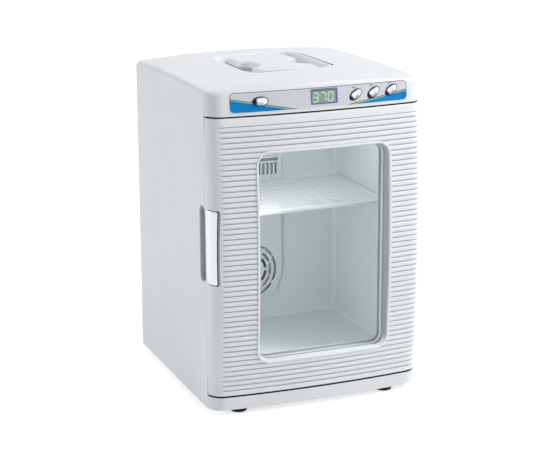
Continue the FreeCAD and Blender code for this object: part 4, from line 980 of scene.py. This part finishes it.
# %% Label
LABEL_LEFT = 31 * MM - HALF
LABEL_RIGHT = HALF - 27 * MM
LABEL_TOP = CROWN - 8.6 * MM
LABEL_LOW = LABEL_TOP - 26.8 * MM
LABEL_CORNER = 6.0 * MM
PRINT_EDGE = 0.15 * MM
WEDGES = ((-44 * MM, LABEL_LEFT, 17.0 * MM), (52 * MM, LABEL_RIGHT, 12.5 * MM))
DASHES = ((50.2, 22.9), (77.6, 23.7), (105.3, 24.6))
DASH_HALF = (2.8 * MM, 0.5 * MM)
INK_NAVY = (0.03, 0.045, 0.11)
INK_BLUE = (0.000, 0.215, 0.56)
INK_SKY = (0.000, 0.265, 0.64)
INK_LIME = (0.52, 0.64, 0.08)
INK_GREY = (0.07, 0.08, 0.11)


def outline_depth(x, z, left, right, low, top, corner):
    """How far a point lies inside a rounded rectangle: corner less the distance to its inner part."""
    dx = abs(x - (left + right) / 2) - ((right - left) / 2 - corner)
    dz = abs(z - (low + top) / 2) - ((top - low) / 2 - corner)
    outside = length(maths("MAXIMUM", dx, 0.0), maths("MAXIMUM", dz, 0.0))
    return corner - (outside + maths("MINIMUM", maths("MAXIMUM", dx, dz), 0.0))


def under_wedge(x, z, start, end, tall):
    """Depth of a point under a slanted edge that climbs from the label's foot at start to tall at end."""
    slope = tall / (end - start)
    return x * slope + (LABEL_LOW - slope * start) - z


def label_film():
    """Printed film: a blue wedge at each end with two fine stripes over it, and a navy line round the top."""
    made = new_material("label_film")
    x, _, z = object_axes(made)
    colour = mottle(made, 14.0, (0.665, 0.68, 0.705), (0.715, 0.73, 0.755))
    deep = maths("MAXIMUM", *(under_wedge(x, z, *edge) for edge in WEDGES))
    colour = blend(soft_step(deep, 0.0, PRINT_EDGE), colour, mottle(made, 26.0, INK_BLUE, INK_SKY))
    colour = blend(band(deep, -2.00 * MM, -1.05 * MM, PRINT_EDGE), colour, INK_NAVY)
    colour = blend(band(deep, -1.00 * MM, -0.1 * MM, PRINT_EDGE), colour, INK_LIME)
    for dash_x, dash_z in DASHES:
        inside = [band(axis, middle - half, middle + half, PRINT_EDGE) for axis, middle, half
                  in zip((x, z), (dash_x * MM, LABEL_LOW + dash_z * MM), DASH_HALF)]
        colour = blend(inside[0] * inside[1], colour, INK_GREY)
    inset = outline_depth(x, z, LABEL_LEFT, LABEL_RIGHT, LABEL_LOW, LABEL_TOP, LABEL_CORNER)
    border = band(inset, 0.15 * MM, 0.85 * MM, PRINT_EDGE) * soft_step(z, LABEL_LOW + 11 * MM, 8 * MM)
    return finish(made, Specular_IOR_Level=0.15, Base_Color=blend(border, colour, INK_NAVY),
                  Roughness=spread(noise(made, 50.0), 0.28, 0.36), Normal=grain(made, 3000.0, 0.000006))


label_film()
dress("panel_label", "label_film")
print("label is %.0f mm wide" % ((LABEL_RIGHT - LABEL_LEFT) / MM))

# %% [markdown]
# ## The display
#
# A tinted lens with a printed violet border covers a small liquid crystal display.  The border
# is painted on the lens by position, like the label.  The three figures are real strips that
# lie on the lens: seven tapered bars each, picked by a table, so they cast no light and stay
# crisp.

# %% Display lens
LENS_LEFT = -14.3 * MM
LENS_RIGHT = 26.0 * MM
LENS_LOW = LABEL_LOW + 3.7 * MM
LENS_TOP = LABEL_TOP - 1.9 * MM
LENS_BLUR = 0.8 * MM


def lens_tint():
    """Lens: grey-blue field inside a violet border that is wider at the top and at the right."""
    made = new_material("display_lens_tint")
    x, _, z = object_axes(made)
    field = (band(x, LENS_LEFT + 2.0 * MM, LENS_RIGHT - 3.4 * MM, LENS_BLUR)
             * band(z, LENS_LOW + 2.0 * MM, LENS_TOP - 3.2 * MM, LENS_BLUR))
    drift = spread(noise(made, 60.0))
    border = blend(drift, (0.12, 0.13, 0.33), (0.15, 0.155, 0.37))
    glow = blend(drift, (0.235, 0.32, 0.335), (0.275, 0.36, 0.37))
    return finish(made, Coat_Weight=0.5, Base_Color=blend(field, border, glow),
                  Roughness=spread(noise(made, 80.0), 0.1, 0.16))


lens_tint()
dress("display_lens", "display_lens_tint")
dress("display_module", "display_lens_tint")
print("lens is %.0f by %.0f mm" % ((LENS_RIGHT - LENS_LEFT) / MM, (LENS_TOP - LENS_LOW) / MM))

# %% Seven segment figures
SEGMENTS = {"0": "abcdef", "1": "bc", "2": "abged", "3": "abgcd", "4": "fgbc", "5": "afgcd", "6": "afgedc",
            "7": "abc", "8": "abcdefg", "9": "abcdfg"}
FIGURE_WIDE = 7.2 * MM
FIGURE_HIGH = 11.8 * MM
FIGURE_PITCH = 11.0 * MM
FIGURE_SLANT = 0.06
FIGURE_LIFT = 0.55 * MM
BAR_WIDE = 1.9 * MM
BAR_GAP = 0.12 * MM
BAR_PLACES = {"a": (0, 2), "b": (1, 1), "c": (1, -1), "d": (0, -2), "e": (-1, -1), "f": (-1, 1), "g": (0, 0)}


def bar_outline(name):
    """Six corners of a bar with pointed ends, from its middle, its direction and its length."""
    level = name in "adg"
    reach = (FIGURE_WIDE / 2 if level else FIGURE_HIGH / 4) - BAR_GAP
    tip = BAR_WIDE / 2
    along = np.array([-reach, -reach + tip, reach - tip, reach, reach - tip, -reach + tip])
    off = np.array([0, -tip, -tip, 0, tip, tip])
    middle = np.array(BAR_PLACES[name]) * [FIGURE_WIDE / 2, FIGURE_HIGH / 4]
    return coords(*((along, off) if level else (-off, along))) + middle


def figure_points(text, centre_x, centre_z):
    """Corners of every bar of a number, slanted, and laid a hair in front of the bowed lens."""
    middle = (len(text) - 1) / 2
    bars = np.stack([bar_outline(name) + [(place - middle) * FIGURE_PITCH, 0]
                     for place, figure in enumerate(text) for name in SEGMENTS[figure]])
    x = bars[..., 0] + centre_x + FIGURE_SLANT * bars[..., 1]
    z = bars[..., 1] + centre_z
    return coords(x, face_y(x, z) - FIGURE_LIFT, z)


def glowing_ink(name, colour, strength):
    """Ink that carries a little light of its own, mottled so that it is not one flat tone."""
    made = new_material(name)
    tone = mottle(made, 900.0, *tone_pair(colour, 0.06))
    return finish(made, Base_Color=tone, Emission_Color=tone, Emission_Strength=strength, Roughness=0.4)


bars = figure_points("370", (LENS_LEFT + LENS_RIGHT) / 2 - 1.6 * MM, (LENS_LOW + LENS_TOP) / 2 - 0.9 * MM)
bar_faces = np.arange(bars.shape[0] * 6).reshape(-1, 6)
glowing_ink("figure_ink", (0.46, 0.72, 0.36), 0.16)
mesh_piece("display_figures", bars, bar_faces, "figure_ink", "cabinet")

# %% [markdown]
# ## Domed keys
#
# Each key is a low metallised dome with an oval outline and a navy rim, and three of them are
# tilted.  The dome is a large sphere cut by an oval, so its edge is lower at the long ends: a
# grid of rings, from the crown outwards, takes its height from the sphere and then drops down
# the side.  Cutting a sphere with a boolean would leave long thin faces that shade badly.

# %% Keys
BUTTONS = {"power_button": (-86.4, 13.4, 11.5, 6.4, 0), "set_button": (52.8, 12.8, 10.5, 6.2, 35),
           "up_button": (80.2, 13.6, 10.5, 6.2, 35), "down_button": (107.9, 14.8, 10.5, 6.2, 35)}
KEY_PROUD = 2.2 * MM
KEY_SPHERE = 48.0 * MM
KEY_RIM = 1.2
DOME_RINGS = [(share, KEY_RIM, 0) for share in (0.001, 0.2, 0.4, 0.58, 0.73, 0.85, 0.94)]
DOME_RINGS += [(1.0, KEY_RIM + 0.15, 0.01), (1.0, KEY_RIM, 0.1), (1.0, KEY_RIM, 0.5)]
RIM_RINGS = [(1.0, inset, drop) for inset, drop in ((KEY_RIM, 0.5), (1.15, 0.14), (1.0, 0.06), (0.35, 0.06),
                                                    (0.1, 0.18), (0.0, 0.45), (0.0, 3.2))]


def key_points(x, z, wide, high, tilt, rings, columns=56):
    """Rings of a key: a share of the oval less an inset, at the sphere's height less that ring's drop."""
    turn = np.linspace(0, 2 * math.pi, columns, endpoint=False)
    share, inset, drop = np.array(rings).T[:, :, None]
    across = share * (wide - inset * MM) * np.cos(turn)
    up = share * (high - inset * MM) * np.sin(turn)
    height = KEY_PROUD - (across ** 2 + up ** 2) / (2 * KEY_SPHERE) - drop * MM
    t = math.radians(tilt)
    return coords(across * math.cos(t) - up * math.sin(t) + x, face_y(x, z) - height,
                  across * math.sin(t) + up * math.cos(t) + z)


def key_chrome(name, x, z, wide, high, tilt):
    """Metallised plastic: silver, rippled by its moulding, with a painted dark reflection at one end and a
    painted grey reflection at its foot.
    """
    made = new_material(name)
    axes = object_axes(made)
    dx, dz = axes[0] - x, axes[2] - z
    t = math.radians(tilt)
    ripple = noise(made, 420.0)
    along = dx * math.cos(t) + dz * math.sin(t) + ripple * (2.4 * MM)
    above = dz * math.cos(t) - dx * math.sin(t) + ripple * (1.6 * MM)
    # painted reflections: a grey patch at the key's foot and a dark one at its left end
    foot = (1 - soft_step(above, 0.0, high * 0.7)) * band(along, -0.6 * wide, 0.5 * wide, 0.4 * wide)
    silver = blend(foot, blend(spread(ripple), (0.74, 0.76, 0.79), (0.86, 0.87, 0.89)), (0.3, 0.315, 0.34))
    dark_reflection = (0.012, 0.014, 0.02)
    clear = soft_step(along, -0.36 * wide, 0.22 * wide)
    return finish(made, Metallic=0.9, Base_Color=blend(clear, dark_reflection, silver),
                  Roughness=spread(ripple, 0.12, 0.22), Normal=grain(made, 500.0, 0.00001))


def printed_ink(name, colour):
    """Screen ink: slightly uneven in tone and gloss."""
    made = new_material(name)
    return finish(made, Specular_IOR_Level=0.2, Base_Color=mottle(made, 700.0, *tone_pair(colour, 0.1)),
                  Roughness=spread(noise(made, 300.0), 0.3, 0.45))


printed_ink("navy_ink", INK_NAVY)
for key, (x, above_foot, wide, high, tilt) in BUTTONS.items():
    oval = (x * MM, LABEL_LOW + above_foot * MM, wide * MM, high * MM, tilt)
    chrome = key + "_chrome"
    key_chrome(chrome, *oval)
    dress(key, chrome)
    dome, _ = (surface_piece(key + end, key_points(*oval, rings)[:, ::-1], look, key,
                             sharp=70.0)
               for end, rings, look in (("_dome", DOME_RINGS, chrome), ("_rim", RIM_RINGS, "navy_ink")))
    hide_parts(key)

# %% [markdown]
# ## Floor, backdrop and light
#
# The floor is a wide pale sheet whose far edge turns up into a backdrop.  For rays from the
# camera, and for those that come by way of gloss or glass, its shader gains some light of its
# own, so it runs to white and still keeps the shadow.  Three large soft lamps give the even
# light of a product table.  Three small ones light the chamber, its shelf and the roof bowl.

# %% Floor
def show(made, unseen, seen, output):
    """Leads two shaders to the output: seen is for rays from the camera or by way of gloss or glass."""
    ray = node(made, "LightPath").outputs
    straight, glossy, through = (Wire(ray["Is %s Ray" % kind]) for kind in ("Camera", "Glossy", "Transmission"))
    straight = maths("MAXIMUM", straight, maths("MAXIMUM", glossy, through))
    feed(made.node_tree.nodes[output], Surface=join(node(made, "MixShader"), straight, unseen, seen))


def floor_material():
    """Pale floor: a diffuse sheet whose tone is lifted by a little of its own light where it is seen."""
    made = new_material("floor_white")
    finish(made, Roughness=0.9, Base_Color=mottle(made, 3.0, (0.8, 0.8, 0.8), (0.82, 0.82, 0.82)))
    pale = Wire(made.node_tree.nodes["Principled BSDF"].outputs[0])
    glow = wire(made, "Emission", Color=(1, 1, 1), Strength=0.62)
    show(made, pale, join(node(made, "AddShader"), pale, glow), "Material Output")
    return made


def floor_points():
    """A sheet twelve metres across whose far edge turns up into a backdrop."""
    depth = np.concatenate([np.linspace(-6.0, 3.0, 40), np.full(12, 3.2)])
    rise = np.concatenate([np.zeros(40), np.linspace(0.1, 4.0, 12)])
    x, y = np.meshgrid(np.linspace(-6.0, 6.0, 25), depth)
    return coords(x, y, rise[:, None])


floor_grid = floor_points()
floor_mesh = bpy.data.meshes.new("floor_sheet")
floor_mesh.from_pydata(floor_grid.reshape(-1, 3).tolist(), [],
                       grid_faces(*floor_grid.shape[:2], False).tolist())
floor_mesh.materials.append(floor_material())
floor = add_object("floor_sheet", floor_mesh)
print("floor laid")

# %% World and lamps
WORLD_LIGHT = 0.43
HEART = (0, 0, 0.24)
BOWL_X = 2.5 * MM
LAMPS = (
    ("side_lamp", (-2.6, 1.5, 1.1), HEART, 1.5, 1.5, 23.5),
    ("top_lamp", (1.75, -1.15, 2.4), HEART, 1.2, 1.2, 51.0),
    ("front_lamp", (2.3, -2.0, 1.3), HEART, 2.0, 2.0, 16.0),
    ("chamber_lamp", (-0.114, SEAM + 6 * MM, 0.228), (0.13, SEAM + 60 * MM, 0.215), 0.02, 0.3, 0.2),
    ("shelf_lamp", (0.0, SEAM + 24 * MM, 0.386), (0.0, 0.02, 0.281), 0.2, 0.03, 0.1),
    ("bowl_lamp", (BOWL_X, SEAM + 149.5 * MM, CROWN - 12.5 * MM), (BOWL_X, SEAM + 150 * MM, CROWN - 30 * MM),
     0.045, 0.09, 0.009),
)

world = bpy.data.worlds.new("studio")
bpy.context.scene.world = world
world.use_nodes = True
cool = feed(world.node_tree.nodes["Background"], Strength=WORLD_LIGHT, Color=(0.93, 0.96, 1.0))
white = wire(world, "Background", Strength=1.0, Color=(1, 1, 1))
show(world, Wire(cool.outputs[0]), white, "World Output")


def soft_lamp(name, place, target, wide, high, power):
    """Rectangular lamp aimed from a place to a target: its -Z axis is the direction between them."""
    lamp = bpy.data.lights.new(name, "AREA")
    feed(lamp, shape="RECTANGLE", size=wide, size_y=high, energy=power)
    holder = add_object(name, lamp)
    away = np.subtract(place, target)
    z_axis = away / np.linalg.norm(away)
    x_axis = np.cross([0, 0, 1.0], z_axis)
    x_axis /= np.linalg.norm(x_axis)
    holder.matrix_world = pose_matrix(x_axis, np.cross(z_axis, x_axis), z_axis, place)
    holder.visible_camera = False


for setting in LAMPS:
    soft_lamp(*setting)
print("lamps set:", len(LAMPS))

# %% Finish
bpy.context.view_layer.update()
